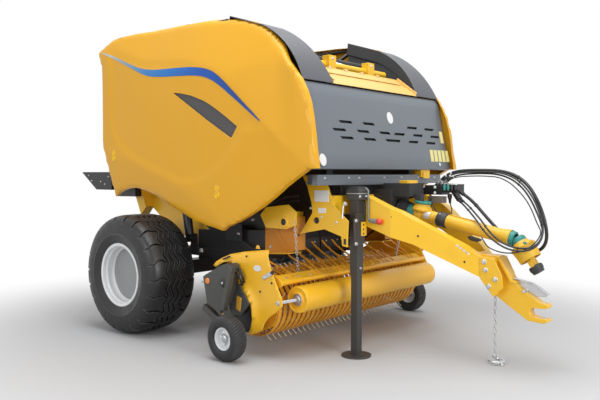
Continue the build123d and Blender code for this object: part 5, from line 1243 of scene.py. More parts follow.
# ---- tailgate --------------------------------------------------------
# Two flat walls pressed with ribs and joined by tubes, sprayed yellow, carry the rear rollers and the four
# flat rubber belts. A black carrier across the back holds the lamps.
finish(frame_yellow, "tailgate_wall_right", "tailgate_wall_left", "tailgate_bars")
belt_rubber = coat("belt_rubber", (0.022, 0.022, 0.023), 0.62, (0.05, 0.05, 0.05), drift=0.3, drift_size=5.0,
                   grain=(120, 0.9), radius=0.003, rough_swing=0.15)
finish(belt_rubber, "belts")
lamp_red = coat("lamp_red", (0.45, 0.01, 0.008), 0.14, gloss=0.6, grain=(90, 0.5), radius=0.002)
lamp_amber = coat("lamp_amber", (0.85, 0.22, 0.008), 0.14, gloss=0.6, grain=(90, 0.5), radius=0.002)
lamps = bmesh.new()
lamp_cup = [(0.06, 0), (0.06, 0.038), (0.055, 0.04), (0, 0.036), (0, 0)]
lamp_glass = [(0.069, 0), (0.068, 0.02), (0.062, 0.033), (0.058, 0.034)]
for x, colour in ((-0.935, 1), (-0.855, 2), (-0.775, 1)):
    turned(lamps, lamp_cup, (x, 1.035, 1.46), (0, 1, 0), 32)
    turned(lamps, lamp_glass, (x, 1.035, 1.46), (0, 1, 0), 32, colour)
block(lamps, (-0.992, 1.025, 1.375), (-0.7, 1.04, 1.54))
block(lamps, (-0.992, 0.74, 1.36), (-0.935, 1.02, 1.366))
block(lamps, (-0.935, 0.755, 1.39), (0, 0.815, 1.45))
carrier_side = [(0.74, 1.55), (1.3, 1.55), (1.3, 1.54), (1.03, 1.36), (0.74, 1.36)]
slab(lamps, carrier_side, -1.0, -0.992)
slab(lamps, carrier_side, -0.938, -0.932)
slab(lamps, [(0.6, 1.287), (0.96, 1.283), (0.95, 1.44), (0.6, 1.44)], -0.8, -0.72)
for y, z in ((1.18, 1.512), (1.124, 1.455), (0.945, 1.448), (0.87, 1.42), (0.8, 1.5)):
    bolt(lamps, (-1.0, y, z), (-1, 0, 0), 0.008, 3)
pair("rear_lamps", lamps, "tailgate", [black_paint, lamp_red, lamp_amber, zinc], ["light_bar"],
     slot="dark_frame", bevel=0.0015)

# ---- drawbar and hitch -----------------------------------------------
# The A-frame drawbar is plate welded into two box beams that meet in a head. The forged clevis, bolted into
# the head, carries a galvanised plate on top and a safety chain, whose hook lies on the floor.
finish(frame_yellow, "drawbar")
head = bmesh.new()
clevis_line = [
    (-3.15, 0.866), (-3.185, 0.862), (-3.245, 0.765), (-3.294, 0.69), (-3.341, 0.667), (-3.365, 0.636),
    (-3.411, 0.611), (-3.518, 0.545), (-3.572, 0.536), (-3.588, 0.526), (-3.588, 0.508), (-3.575, 0.502),
    (-3.519, 0.497), (-3.474, 0.5), (-3.451, 0.486), (-3.444, 0.459), (-3.459, 0.432), (-3.512, 0.424),
    (-3.58, 0.42), (-3.588, 0.412), (-3.588, 0.4), (-3.55, 0.386), (-3.429, 0.394), (-3.17, 0.555),
]
top_fold = [
    (-3.02, 0.885), (-3.19, 0.879), (-3.3, 0.7), (-3.335, 0.69), (-3.335, 0.672), (-3.292, 0.68),
    (-3.176, 0.862), (-3.02, 0.868),
]
cheek = [(-3.062, 0.867), (-3.18, 0.866), (-3.25, 0.735), (-3.262, 0.64), (-3.18, 0.56), (-3.07, 0.69)]
slab(head, clevis_line, -0.046, 0.046)
slab(head, top_fold, -0.062, 0.062)
for side in (-1, 1):
    slab(head, cheek, side * 0.112, side * 0.124)
    for y, z in ((-3.1, 0.832), (-3.113, 0.768), (-3.196, 0.7), (-3.142, 0.64)):
        bolt(head, (side * 0.124, y, z), (side, 0, 0), 0.021, 1)
pin_bush = [(-0.006, 0.021), (0.003, 0.021), (0.003, 0.03), (-0.006, 0.032)]
for z, up in ((0.5405, 1), (0.5, -1), (0.423, 1), (0.391, -1)):
    turned(head, pin_bush, (0, -3.53, z), (0, 0, up), 32, 1)
web = [(-3.32, 0.694), (-3.45, 0.675), (-3.565, 0.605), (-3.575, 0.588), (-3.482, 0.583), (-3.343, 0.648)]
slab(head, web, -0.004, 0.004, 1)
plate_line = [(0, -3.3, 0.708), (0, -3.44, 0.684), (0, -3.5, 0.656), (0, -3.58, 0.606)]
sweep(head, strip(0.024, 0.003), plate_line, 1, (1, 0, 0))
rod(head, (-0.066, -3.402, 0.618), (0.066, -3.402, 0.618), 0.011, 16, 1)
for x, y, z in ((-0.49, -2.2, 1.3), (-0.47, -2.45, 1.18), (-0.39, -2.66, 1.03), (-0.21, -2.98, 0.83)):
    turned(head, [(-0.002, 0), (-0.002, 0.008), (0.001, 0.01)], (x - 0.011, y, z), coat=2, steps=16)
piece("clevis", head, "root", [frame_yellow, zinc, black_paint], ["hitch"], slot="body_yellow", bevel=0.003)


def chain(shape, start, end, long, wire):
    """Welded links from point to point, each a quarter turn from the last."""
    start, end = Vector(start), Vector(end)
    along = (end - start).normalized()
    first = along.orthogonal().normalized()
    second = along.cross(first)
    count = max(2, round((end - start).length / (long - 2 * wire)))
    round_end = long * 0.32 - wire / 2
    straight = long / 2 - wire - round_end
    for i in range(count):
        centre = start + (end - start) * (i + 0.5) / count
        side = (first, second)[i % 2]
        line = []
        for k in range(13):
            turn = 2 * pi * (k % 12) / 12
            lift = cos(turn)
            reach = round_end * lift + straight * (1 if lift > 0.01 else -1 if lift < -0.01 else 0)
            line.append(centre + along * reach + side * round_end * sin(turn))
        sweep(shape, ring(wire / 2, 6), line)


links = bmesh.new()
chain(links, (0, -3.142, 0.56), (0, -3.142, 0.06), 0.046, 0.0075)
turned(links, [(-0.012, 0), (-0.012, 0.02), (0.012, 0.02), (0.012, 0)], (0, -3.142, 0.055), (0, 0, 1), 20)
hook = [
    (0, -3.142, 0.048), (0.03, -3.125, 0.036), (0.052, -3.15, 0.024), (0.045, -3.195, 0.02),
    (0, -3.215, 0.02), (-0.045, -3.195, 0.02), (-0.058, -3.15, 0.02), (-0.04, -3.11, 0.022),
    (-0.005, -3.095, 0.026),
]
sweep(links, ring(0.011, 10), hook, taper=[1, 1, 1.1, 1.2, 1.2, 1.1, 1, 0.9, 0.5])
chain(links, (0.05, -3.17, 0.012), (-0.05, -3.235, 0.012), 0.046, 0.0075)
chain(links, (-0.05, -3.23, 0.012), (-0.085, -3.14, 0.012), 0.046, 0.0075)
piece("chain_links", links, "root", [zinc], ["safety_chain"], slot="bright_steel")

# A short chain on each side hangs between the front bracket and the pickup.
lift_chain = bmesh.new()
chain(lift_chain, (-0.86, -1.735, 1.145), (-0.752, -1.685, 0.64), 0.04, 0.007)
for made in pair("pickup_chain", lift_chain, None, [zinc]):
    side = -1 if made.name.endswith("right") else 1
    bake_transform(made)

# ---- parking jack ----------------------------------------------------
# A drop-leg jack of square steel tube in black paint, clamped to the drawbar's side by two plates. A crank
# with a red grip folds down beside its head, and its foot stands on the ground.
jack_black = coat("jack_black", (0.04, 0.039, 0.037), 0.42, (0.12, 0.12, 0.12), drift=0.18, drift_size=3.0,
                  radius=0.005)
finish(jack_black, "jack_tube", "jack_leg")
grip_grey = coat("grip_grey", (0.22, 0.235, 0.22), 0.5, drift=0.1, radius=0.003)
grip_red = coat("grip_red", (0.72, 0.045, 0.02), 0.35, gloss=0.3, drift=0.05, radius=0.003)
JACK_X, JACK_Y = -0.56, -2.17
CAP_WALL = 0.01            # half the thickness of the cap's walls, which stand round the leg
jack = bmesh.new()
for proud, low, high, colour in ((0, 1.318, 1.405, 0), (0.002, 1.366, 1.372, 1)):
    thick = CAP_WALL + proud
    for side in (-0.055, 0.055):
        x, y = JACK_X + side, JACK_Y + side
        block(jack, (x - thick, -2.235 - proud, low), (x + thick, -2.105 + proud, high), colour)
        block(jack, (-0.605, y - thick, low), (-0.515, y + thick, high), colour)
block(jack, (-0.612, -2.222, 1.405), (-0.508, -2.118, 1.425))
slab(jack, [(-2.221, 1.165), (-2.203, 1.165), (-2.203, 0.94), (-2.221, 0.94)], -0.668, -0.602)
slab(jack, [(-2.224, 1.132), (-2.206, 1.132), (-2.206, 1.015), (-2.224, 1.015)], -0.573, -0.5, 2)
slab(jack, [(-2.21, 1.132), (-2.1, 1.132), (-2.1, 1.015), (-2.21, 1.015)], -0.508, -0.5, 2)
for x, y, z, size in (
    (-0.61, -2.235, 1.345, 0.012), (-0.52, -2.235, 1.345, 0.012), (-0.642, -2.221, 1.145, 0.016),
    (-0.642, -2.221, 0.955, 0.016), (-0.56, -2.2055, 0.745, 0.012),
):
    bolt(jack, (x, y, z), (0, -1, 0), size, 1)
for z in (1.11, 1.07, 1.035):
    turned(jack, [(-0.003, 0), (-0.003, 0.008), (0, 0.009)], (-0.545, -2.2245, z), (0, 1, 0), 16)
rod(jack, (-0.5, -2.17, 1.4), (-0.5, -2.215, 1.405), 0.018, 20, 1)
crank_line = [(-0.5, -2.2, 1.405), (-0.512, -2.235, 1.405), (-0.514, -2.25, 1.39),
              (-0.514, -2.251, 1.165), (-0.514, -2.258, 1.148), (-0.514, -2.275, 1.142)]
grip_at, grip_way = (-0.514, -2.256, 1.143), (0, -1, -0.04)
sweep(jack, ring(0.0085, 12), crank_line, 3)
grip = [(0, 0), (0, 0.01), (0.015, 0.016), (0.05, 0.019), (0.085, 0.021)]
knob = [(0.085, 0.021), (0.09, 0.024), (0.115, 0.024), (0.13, 0.018), (0.134, 0)]
turned(jack, grip, grip_at, grip_way, 24, 3)
turned(jack, knob, grip_at, grip_way, 24, 4)
piece("jack_fittings", jack, "root", [jack_black, zinc, frame_yellow, grip_grey, grip_red], bevel=0.002)

# ---- gearbox and driveline -------------------------------------------
# A cast gearbox behind a ribbed black bellows drives a telescoping shaft. The shaft turns inside plastic
# guards: yellow tubes, green-blue cones and rings, and a wide yellow collar over the front yoke.
cast_black = coat("cast_black", (0.03, 0.031, 0.033), 0.55, drift=0.2, drift_size=6.0, grain=(90, 0.8),
                  radius=0.004)
guard_yellow = coat("guard_yellow", (0.76, 0.44, 0.022), 0.45, (0.85, 0.56, 0.06), drift=0.12, drift_size=5.0,
                    grain=(260, 0.25), radius=0.003)
guard_green = coat("guard_green", (0.03, 0.23, 0.2), 0.42, (0.08, 0.4, 0.36), drift=0.15, drift_size=9.0,
                   grain=(260, 0.2), radius=0.003)
label_silver = coat("label_silver", (0.62, 0.63, 0.66), 0.35, metallic=0.4, drift=0.25, drift_size=30.0,
                    radius=0.001)
finish(cast_black, "gearbox")
shaft_start = Vector((0, -2.23, 1.225))
shaft_way = Vector((0, -0.9815, -0.1917))
ACROSS = Vector((1, 0, 0))


def on_shaft(shape, profile, coat=0):
    """A turned part of the driveline, from (distance along it, radius) points."""
    return turned(shape, profile, shaft_start, shaft_way, 48, coat)


bowl = bmesh.new()
RIBS, RIB_APART, RIB_SHRINK = 6, 0.018, 0.003
bowl_line = [(0, 0.06), (0, 0.078)]
for i in range(RIBS):
    a, shrink = 0.012 + RIB_APART * i, RIB_SHRINK * i
    bowl_line += [(a + run, r - shrink) for run, r in ((0, 0.08), (0.004, 0.092), (0.01, 0.092), (0.014, 0.08))]
on_shaft(bowl, bowl_line + [(0.126, 0.062), (0.126, 0.05)])
piece("shaft_bellows", bowl, "root", [cast_black], ["pto_bowl"], slot="hose_rubber")

# The rear guard: a green-blue cone, a yellow tube with two raised rings, a black clamp and a silver label.
guard = bmesh.new()
for colour, profile in (
    (1, [(0.11, 0.05), (0.112, 0.072), (0.12, 0.073), (0.155, 0.066), (0.19, 0.06), (0.194, 0.056)]),
    (0, [(0.18, 0.05), (0.182, 0.062), (0.19, 0.064), (0.235, 0.06), (0.245, 0.052)]),
    (0, [(0.235, 0.04), (0.236, 0.05), (0.25, 0.0515), (0.4, 0.05), (0.75, 0.05), (0.752, 0.046)]),
    (0, [(0.345, 0.0495), (0.347, 0.053), (0.351, 0.053), (0.353, 0.0495)]),
    (0, [(0.372, 0.0495), (0.374, 0.053), (0.378, 0.053), (0.38, 0.0495)]),
    (2, [(0.395, 0.049), (0.397, 0.06), (0.402, 0.063), (0.478, 0.063), (0.483, 0.06), (0.485, 0.049)]),
):
    on_shaft(guard, profile, colour)
for x in (-0.054, -0.002):
    bolt(guard, shaft_start + shaft_way * 0.44 + Vector((x, 0, 0.0535)), (-0.4, 0.1, 0.9), 0.007, 3)
LABEL_R, LABEL_AT, LABEL_LONG = 0.0523, 0.275, 0.055
label = bmesh.ops.create_grid(guard, x_segments=8, y_segments=1, size=0.5)["verts"]
for v in label:
    turn = radians(160 + 70 * (v.co.x + 0.5))
    spot = ACROSS * cos(turn) + shaft_way.cross(ACROSS) * -sin(turn)
    v.co = shaft_start + shaft_way * (LABEL_AT + LABEL_LONG * (v.co.y + 0.5)) + spot * LABEL_R
paint(label, 4)
piece("shaft_guard_rear", guard, "root", [guard_yellow, guard_green, cast_black, zinc, label_silver],
      ["pto_rear_guard"], slot="guard_yellow")

# The front guard slides in over the rear one, and flares out at its front end.
tube = bmesh.new()
on_shaft(tube, [
    (0.486, 0.05), (0.487, 0.0545), (0.495, 0.0555), (0.7, 0.056), (0.945, 0.0565), (0.985, 0.059),
    (1.045, 0.068), (1.057, 0.07), (1.059, 0.066), (1.005, 0.058),
])
on_shaft(tube, [(1.045, 0.05), (1.047, 0.064), (1.075, 0.064), (1.095, 0.06), (1.097, 0.046)], 1)
sweep(tube, [(-0.014, -0.004), (0.014, -0.004), (0.01, 0.004), (-0.01, 0.004)],
      [shaft_start + shaft_way * a + Vector((0, -0.011, 0.0575)) for a in (0.5, 0.62, 0.74)], 0, (1, 0, 0))
piece("shaft_guard_front", tube, "driveline", [guard_yellow, guard_green], ["pto_shaft"], slot="guard_yellow")

# The front end bends at the joint: the collar, its three studs, the yoke's two arms and its pull ring.
bend = Vector((0, -3.334, 1.009))
yoke_way = Vector((0, -0.148, -0.212)).normalized()
yoke_up = yoke_way.cross(ACROSS)
collar = bmesh.new()
neck = [(-0.03, 0), (-0.028, 0.045), (-0.012, 0.058), (0.02, 0.06), (0.026, 0.052)]
turned(collar, neck, bend, yoke_way, 48, 1)
turned(collar, [
    (0.012, 0.05), (0.016, 0.06), (0.034, 0.07), (0.048, 0.09), (0.058, 0.0985), (0.064, 0.1005),
    (0.07, 0.0985), (0.076, 0.095), (0.125, 0.09), (0.17, 0.0875), (0.174, 0.085), (0.17, 0.0825),
    (0.08, 0.087), (0.06, 0.06), (0.05, 0.03),
], bend, yoke_way, 64)
for turn in (20, 140, 260):
    a = radians(turn)
    out = ACROSS * cos(a) + yoke_up * sin(a)
    rod(collar, bend + yoke_way * 0.048 + out * 0.078, bend + yoke_way * 0.064 + out * 0.1005, 0.013, 16, 1)
stub = [(0.055, 0), (0.058, 0.034), (0.18, 0.034), (0.19, 0.026), (0.236, 0.026)]
turned(collar, stub, bend, yoke_way, 32)
for side in (-1, 1):
    arm = [(0.15, 0.03), (0.185, 0.046), (0.235, 0.046)]
    arm_line = [bend + yoke_way * a + ACROSS * side * out for a, out in arm]
    sweep(collar, strip(0.018, 0.007), arm_line, 0, yoke_up)
turned(collar, [
    (0.228, 0), (0.23, 0.05), (0.236, 0.056), (0.262, 0.056), (0.27, 0.05), (0.29, 0.047), (0.292, 0),
], bend, yoke_way, 12, 2)
piece("yoke_collar", collar, "driveline_end", [guard_yellow, guard_green, cast_black], ["pto_yoke"],
      slot="guard_yellow", bevel=0.001)

# The lubricator bell on the gearbox: a yellow cup under a green-blue ring.
bell = bmesh.new()
bell_foot, bell_way = (0, -2.455, 1.225), (0, -0.15, 1)
turned(bell, [
    (-0.02, 0), (-0.018, 0.075), (0, 0.086), (0.018, 0.078), (0.034, 0.066), (0.05, 0.062), (0.052, 0),
], bell_foot, bell_way, 40)
turned(bell, [
    (0.048, 0), (0.049, 0.066), (0.058, 0.074), (0.072, 0.072), (0.074, 0.058), (0.066, 0.056), (0.064, 0),
], bell_foot, bell_way, 40, 1)
block(bell, (-0.035, -2.46, 1.285), (0.03, -2.4, 1.355), 2)
piece("gearbox_bell", bell, "root", [guard_yellow, guard_green, cast_black], bevel=0.001)

# ---- hose stand ------------------------------------------------------
# A black square tube ends in a clamp block and a pressed holder, where the couplings park; the hoses leave
# it through plated fittings, with blank tags and ties round them.
finish(black_paint, "hose_stand")
stand = bmesh.new()
bar(stand, (0.3, -2.02, 1.335), (0.31, -2.37, 1.385), 0.06, 0.066)
for z in (1.412, 1.362):
    bolt(stand, (0.25, -2.436, z), (-1, 0, 0), 0.013, 1)
slab(stand, [(-2.505, 1.447), (-2.655, 1.44), (-2.655, 1.434), (-2.505, 1.441)], 0.25, 0.392, 2)
socket_line = [(0, 0), (0.002, 0.016), (0.03, 0.016), (0.036, 0.012), (0.052, 0.012), (0.054, 0)]
for i, colour in enumerate((3, 3, 0, 0)):
    y = -2.528 - 0.036 * i
    turned(stand, socket_line, (0.262, y, 1.43), (-0.35, -0.15, -1), 20, colour)
    turned(stand, [(0, 0), (0.002, 0.016), (0.05, 0.016), (0.052, 0)], (0.34, y, 1.43), (0, 0, -1), 20)
block(stand, (0.262, -2.5, 1.27), (0.35, -2.36, 1.33), 4)
turned(stand, [(0, 0), (0.002, 0.02), (0.03, 0.021), (0.05, 0.014), (0.085, 0.01), (0.088, 0)],
       (0.268, -2.575, 1.355), (0, -0.05, -1), 20)
for pipe_line in (
    [(0.268, -2.58, 1.275), (0.262, -2.6, 1.22), (0.258, -2.598, 1.17), (0.2, -2.61, 1.165),
     (0.09, -2.64, 1.178)],
    [(0.262, -2.38, 1.3), (0.255, -2.4, 1.25), (0.2, -2.42, 1.225), (0.05, -2.45, 1.262)],
):
    sweep(stand, ring(0.005), pipe_line)
plate_brown = coat("plate_brown", (0.22, 0.19, 0.155), 0.5, drift=0.2, drift_size=12.0)
piece("stand_fittings", stand, "root", [black_paint, plate_white, zinc, guard_green, plate_brown], bevel=0.0015)


def cord_line(name):
    """The points of a hose's own line, close together, drawn as the hose is."""
    plain = hoses[name].data.copy()
    plain.bevel_depth = 0
    probe = placed("probe", plain)
    bpy.context.view_layer.update()
    mesh = bpy.data.meshes.new_from_object(probe.evaluated_get(bpy.context.evaluated_depsgraph_get()))
    line = [v.co - Vector((0, AXLE_Y, 0)) for v in mesh.vertices]
    bpy.data.objects.remove(probe)
    return line


def along_hose(line, start, end):
    """The stretch of a hose's line between two distances from its beginning."""
    gone, out = 0.0, []
    for a, b in zip(line, line[1:]):
        run = (b - a).length
        for share in (0, 0.34, 0.67):
            if start <= gone + run * share <= end:
                out.append(a.lerp(b, share))
        gone += run
    return out


# On the hoses: plated ferrules, rubber sleeves, blank tags, and the ties that bundle them, each as
# (from, to, how proud, finish) along its hose.
TIE_LONG, TIE_PROUD, TAG_PROUD = 0.012, 0.003, 0.0008
sleeves = bmesh.new()
for name, radius, parts in (
    ("hose_thick", 0.014, [(0, 0.055, 0.006, 1), (0.105, 0.125, TAG_PROUD, 2), (0.16, 0.18, TAG_PROUD, 2)]),
    ("hose_thin_low", 0.0075, [(0, 0.035, 0.005, 1), (0.05, 0.105, 0.0035, 0), (0.112, 0.135, TAG_PROUD, 2)]),
    ("hose_thin_high", 0.0075, [(0, 0.035, 0.005, 1), (0.05, 0.105, 0.0035, 0), (0.118, 0.135, TAG_PROUD, 2)]),
):
    line = cord_line(name)
    total = sum((b - a).length for a, b in zip(line, line[1:]))
    ties = [(total * place, total * place + TIE_LONG, TIE_PROUD, 0) for place in (0.34, 0.52, 0.66, 0.8, 0.93)]
    for start, end, proud, colour in parts + ties:
        stretch = along_hose(line, start, end)
        if len(stretch) > 1:
            sweep(sleeves, ring(radius + proud, 14), stretch, colour)
piece("hose_sleeves", sleeves, "root", [black_paint, zinc, plate_white])

# A black parking wedge sits under the shaft's guard, and the clip that holds it on the road hangs on the
# drawbar.
wedge = bmesh.new()
side_line = [(-2.905, 1.02), (-3, 0.998), (-3.01, 0.99), (-2.985, 0.975), (-2.93, 0.985), (-2.908, 1)]
slab(wedge, side_line, -0.03, 0.03)
piece("shaft_wedge", wedge, "driveline", [cast_black], bevel=0.004)
clip = bmesh.new()
chain(clip, (-0.275, -2.935, 0.968), (-0.262, -3.04, 0.9), 0.03, 0.006)
piece("drawbar_clip", clip, "root", [zinc])

# ---- pickup ----------------------------------------------------------
# The pickup's frame, its curved bands and its folded side shields are yellow sheet steel. Outside each shield
# a moulded dark-grey box covers the drive, with a black square leg down to the gauge wheel.
band_orange = coat("band_orange", (0.82, 0.36, 0.016), 0.36, (0.95, 0.56, 0.06), drift=0.12, drift_size=4.0,
                   grain=(160, 0.08), radius=0.004)
finish(band_orange, "pickup_frame", "stripper_bands")
box_grey = coat("box_grey", (0.06, 0.06, 0.056), 0.48, (0.13, 0.13, 0.12), drift=0.12, drift_size=4.0,
                grain=(420, 0.3), radius=0.004)
finish(box_grey, "gauge_arm_right", "gauge_arm_left")
shield_line = [
    (-1.044, 0.729), (-1.075, 0.762), (-1.141, 0.8), (-1.236, 0.838), (-1.407, 0.872), (-1.689, 0.908),
    (-1.751, 0.735), (-1.812, 0.62), (-1.863, 0.529), (-1.868, 0.468), (-1.792, 0.403), (-1.708, 0.35),
    (-1.666, 0.298), (-1.64, 0.24), (-1.575, 0.205), (-1.493, 0.18), (-1.53, 0.24), (-1.55, 0.328),
    (-1.538, 0.427), (-1.483, 0.514), (-1.395, 0.595), (-1.29, 0.612), (-1.29, 0.64), (-1.338, 0.69),
    (-1.322, 0.745), (-1.262, 0.78), (-1.17, 0.765), (-1.075, 0.715),
]
rear_edge = shield_line[15:21]      # the edge round the reel's end, which flares outwards
FLARE, FLARE_WIDE, FLARE_BELOW = 0.03, 0.075, 0.6
TOP_LEAN = 0.55             # how far the sheet leans in above its fold, for each metre up
shield = flat_sheet(shield_line, -1.154)
cut_grid(shield, (-1.88, 0.17), (-1.03, 0.92), 0.03)
for v in shield.verts:
    y, z = v.co.y, v.co.z
    v.co.x += TOP_LEAN * max(0.0, z - (0.797 - 0.157 * (y + 1.338)))
    near = min((Vector((y, z)) - Vector(a).lerp(Vector(b), s)).length
               for a, b in zip(rear_edge, rear_edge[1:]) for s in (0, 0.25, 0.5, 0.75, 1))
    if z < FLARE_BELOW:
        v.co.x -= FLARE * max(0.0, 1 - near / FLARE_WIDE) ** 1.5
split_large(shield)
pickup_yellow = coat("pickup_yellow", (0.92, 0.5, 0.022), 0.34, (0.95, 0.62, 0.08), drift=0.06, drift_size=2.0,
                     grain=(160, 0.05), radius=0.004, gloss=0.12)
for made in pair("side_shield", shield, "pickup", [pickup_yellow], ["pickup_shield_{}"], slot="body_yellow",
                 smooth=50):
    thicken(made, 0.006, 0)

# On the shield: a lifting eye, an oval plate, the guard's side link and a few bolts.
trim = bmesh.new()
slab(trim, [(-1.52, 0.905), (-1.535, 0.935), (-1.555, 0.935), (-1.57, 0.905)], -1.11, -1.104)
plate_place = Matrix(((0, 0, 1, -1.1592), (0.045, 0, 0, -1.588), (0, 0.026, 0, 0.75), (0, 0, 0, 1)))
made = bmesh.ops.create_circle(trim, cap_ends=True, segments=32, radius=1.0)["verts"]
bmesh.ops.transform(trim, matrix=plate_place, verts=made)
paint(made, 2)
bar(trim, (-1.162, -1.655, 0.675), (-1.162, -1.77, 0.733), 0.006, 0.034, 3)
bar(trim, (-1.16, -1.815, 0.487), (-1.02, -1.895, 0.505), 0.014, 0.024, 3)
for x, y, z, size, colour in (
    (-1.165, -1.668, 0.682, 0.012, 3), (-1.165, -1.765, 0.731, 0.017, 1), (-1.158, -1.822, 0.487, 0.02, 3),
):
    bolt(trim, (x, y, z), (-1, 0, 0), size, colour)
for y, z in ((-1.751, 0.644), (-1.62, 0.56), (-1.46, 0.84)):
    turned(trim, [(-0.004, 0), (-0.004, 0.009), (0, 0.01)], (-1.1575, y, z), steps=16, coat=1)
slab(trim, [(-1.175, 0.8), (-1.265, 0.832), (-1.272, 0.818), (-1.182, 0.786)], -1.168, -1.16, 1)
pair("shield_trim", trim, "pickup", [pickup_yellow, black_paint, plate_white, zinc], bevel=0.001)

# Outside it: the black backing sheet and the reel's bearing, the grey box over the drive, its hub caps and
# bolts, a reflector, and two short cables.
drive = bmesh.new()
backing_line = [
    (-1.075, 0.72), (-1.3, 0.775), (-1.4, 0.7), (-1.5, 0.575), (-1.56, 0.44), (-1.575, 0.32),
    (-1.51, 0.195), (-1.42, 0.19), (-1.28, 0.26), (-1.1, 0.42),
]
box_line = [
    (-1.059, 0.645), (-1.095, 0.668), (-1.313, 0.771), (-1.36, 0.78), (-1.385, 0.768), (-1.392, 0.735),
    (-1.36, 0.56), (-1.275, 0.352), (-1.111, 0.414),
]
slab(drive, backing_line, -1.1465, -1.138)
slab(drive, box_line, -1.29, -1.172, 1)
slab(drive, [(-1.29, 0.6), (-1.4, 0.6), (-1.53, 0.452), (-1.43, 0.34), (-1.27, 0.32)], -1.196, -1.172, 1)
slab(drive, [(-1.385, 0.505), (-1.44, 0.49), (-1.425, 0.372), (-1.37, 0.39)], -1.199, -1.195, 4)
bar(drive, (-1.235, -1.02, 0.372), (-1.235, -1.215, 0.275), 0.05, 0.055, 1)
bar(drive, (-1.262, -1.395, 0.76), (-1.292, -1.375, 0.56), 0.045, 0.045, 1, (0, 1, 0))
BEARING, HUB, CAP = (-1.146, -1.47, 0.418), (-1.29, -1.322, 0.617), (-1.29, -1.119, 0.613)
for centre, steps, colour, profile in (
    (BEARING, 48, 0, [(-0.02, 0), (-0.02, 0.1), (-0.01, 0.115), (0, 0.12)]),
    (HUB, 32, 0, [(-0.02, 0), (-0.02, 0.026), (-0.012, 0.034), (0, 0.036)]),
    (HUB, 6, 2, [(-0.024, 0), (-0.024, 0.01), (-0.018, 0.012)]),
    (CAP, 40, 3, [(-0.008, 0), (-0.0075, 0.02), (-0.005, 0.027), (0, 0.028)]),
    (CAP, 40, 0, [(-0.003, 0.027), (-0.003, 0.032), (0, 0.033)]),
):
    turned(drive, profile, centre, steps=steps, coat=colour)
rod(drive, (-1.265, -1.075, 0.605), (-1.265, -1.015, 0.592), 0.009, 14, 2)
for z in (0.66, 0.585):
    bolt(drive, (-1.175, -1.4, z), (-0.3, -1, 0.1), 0.013, 2)
cable_ends = (
    (Vector((-1.2, -1.405, 0.73)), Vector((-1.165, -1.42, 0.62))),
    (Vector((-1.22, -1.4, 0.7)), Vector((-1.19, -1.425, 0.6))),
)
for start, end in cable_ends:
    middle = (start + end) / 2 + Vector((-0.01, -0.035, 0))
    cable_line = [start, start + Vector((0, -0.02, 0.004)), middle, end + Vector((0, -0.02, 0)), end]
    sweep(drive, ring(0.01, 10), cable_line)
reflector_orange = coat("reflector_orange", (0.88, 0.24, 0.01), 0.2, gloss=0.5, grain=(200, 0.8),
                        radius=0.001, drift=0.05)
pair("drive_box", drive, "pickup", [black_paint, box_grey, zinc, reflector_orange, door_yellow], ["end_box_{}"],
     slot="dark_frame", bevel=0.006)

# ---- pickup reel -----------------------------------------------------
# Four tine bars turn about a tube on pressed spiders; each carries coiled spring-steel double tines, bent
# back at their tips, which come out between the bands.
REEL = Vector((0, -1.47, 0.418))
BARS_OUT, BAR_HALF = 0.17, 1.045
tine_steel = coat("tine_steel", (0.9, 0.78, 0.5), 0.35, metallic=0.1, drift=0.15, drift_size=20.0,
                  radius=0.001)
reel = bmesh.new()
rod(reel, REEL - ACROSS * 1.05, REEL + ACROSS * 1.05, 0.06, 32)
for turn in (70, 160, 250, 340):
    a = radians(turn)
    out = Vector((0, cos(a), sin(a)))
    lag = Vector((0, -sin(a), cos(a)))
    centre = REEL + out * BARS_OUT
    rod(reel, centre - ACROSS * BAR_HALF, centre + ACROSS * BAR_HALF, 0.014, 14)
    for x in (-0.98, -0.52, 0, 0.52, 0.98):
        bar(reel, REEL + ACROSS * x + out * 0.05, centre + ACROSS * x, 0.006, 0.05, 0, lag)
    for i in range(32):
        foot = centre + ACROSS * (-1.0075 + 0.065 * i)
        line = [foot + out * r + lag * s for r, s in
                ((0, 0.014), (0.03, 0.016), (0.08, 0.012), (0.122, -0.002), (0.15, -0.022))]
        sweep(reel, ring(0.0038, 6), line, 1)
    for i in range(16):
        for s in (-0.02, -0.012, 0.012, 0.02):
            turned(reel, [(-0.0035, 0.0175), (0, 0.0215), (0.0035, 0.0175)],
                   centre + ACROSS * (-0.975 + 0.13 * i + s), steps=10, coat=1)
piece("tine_reel", reel, "reel", [band_orange, tine_steel], ["pickup_reel"], slot="dark_frame")

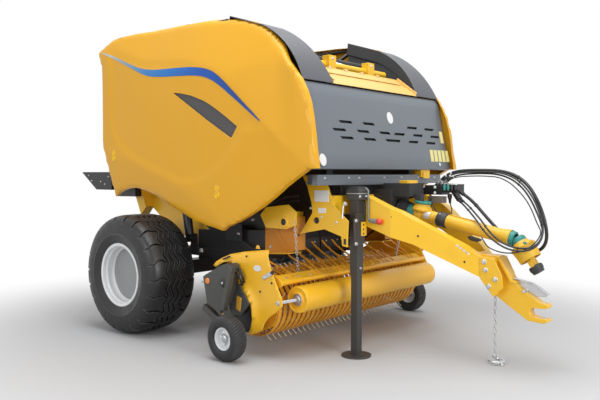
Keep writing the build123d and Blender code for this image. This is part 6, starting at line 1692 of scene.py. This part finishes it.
# ---- wind guard ------------------------------------------------------
# A cross tube on two swinging arms carries curved flat fingers that hold the crop down; below it a plain
# steel roller turns in adjusting links. All of it is sprayed yellow, with plated bolts.
guard = bmesh.new()
GUARD_TUBE = (-1.8, 0.64)
ARM_X = 1.113
arm_line = [
    (-1.36, 0.835), (-1.44, 0.845), (-1.6, 0.76), (-1.815, 0.668), (-1.835, 0.625), (-1.8, 0.6),
    (-1.58, 0.7), (-1.42, 0.765), (-1.365, 0.775),
]
rod(guard, (-1.108, *GUARD_TUBE), (1.108, *GUARD_TUBE), 0.023, 28)
for side in (-1, 1):
    slab(guard, arm_line, side * ARM_X - 0.005, side * ARM_X + 0.005)
    bolt(guard, (side * 1.105, -1.4, 0.8), (-side, 0, 0), 0.018, 1)
bar(guard, (0, -1.775, 0.657), (0, -1.715, 0.69), 2.2, 0.006)
bar(guard, (0, -1.792, 0.622), (0, -1.748, 0.606), 2.16, 0.005, 2)
for i in range(14):
    bolt(guard, (-0.99 + 0.152 * i, -1.762, 0.667), (0, -0.5, 0.85), 0.01, 1)
    bolt(guard, (-0.93 + 0.143 * i, -1.772, 0.611), (0, -0.35, -0.94), 0.009, 1)
# Long and short fingers stand in turn; none stand under the front brackets and the chains.
CLEAR_FROM, CLEAR_TO = 0.61, 0.87
for i in range(13):
    for shift, lift in ((0, 0), (0.06, 0.045)):
        x = -0.9 + 0.15 * i + shift
        if CLEAR_FROM < abs(x) < CLEAR_TO:
            continue
        line = [(x, -1.77, 0.668), (x, -1.69, 0.708), (x, -1.61, 0.735 + lift * 0.5),
                (x, -1.53, 0.755 + lift), (x, -1.46, 0.785 + lift * 1.3), (x, -1.405, 0.825 + lift * 1.5)]
        sweep(guard, strip(0.012, 0.003), line, 2, (1, 0, 0))
piece("crop_guard", guard, "wind_guard", [pickup_yellow, zinc, band_orange], ["windguard"], slot="body_yellow",
      bevel=0.001)
finish(pickup_yellow, "windguard_roller")
roller_ends = bmesh.new()
roller_middle = (0, -1.9, 0.505)
turned(roller_ends, [
    (-0.979, 0.1095), (-1.006, 0.1095), (-1.012, 0.106), (-1.012, 0.1), (-1.004, 0.096), (-1.002, 0.062),
    (-1.01, 0.058), (-1.012, 0.052),
], roller_middle, steps=64)
turned(roller_ends, [(-1.006, 0.053), (-1.014, 0.05), (-1.014, 0.03), (-1.022, 0.028), (-1.022, 0)],
       roller_middle, steps=40, coat=1)
pair("roller_end", roller_ends, "press_roller", [pickup_yellow, zinc])
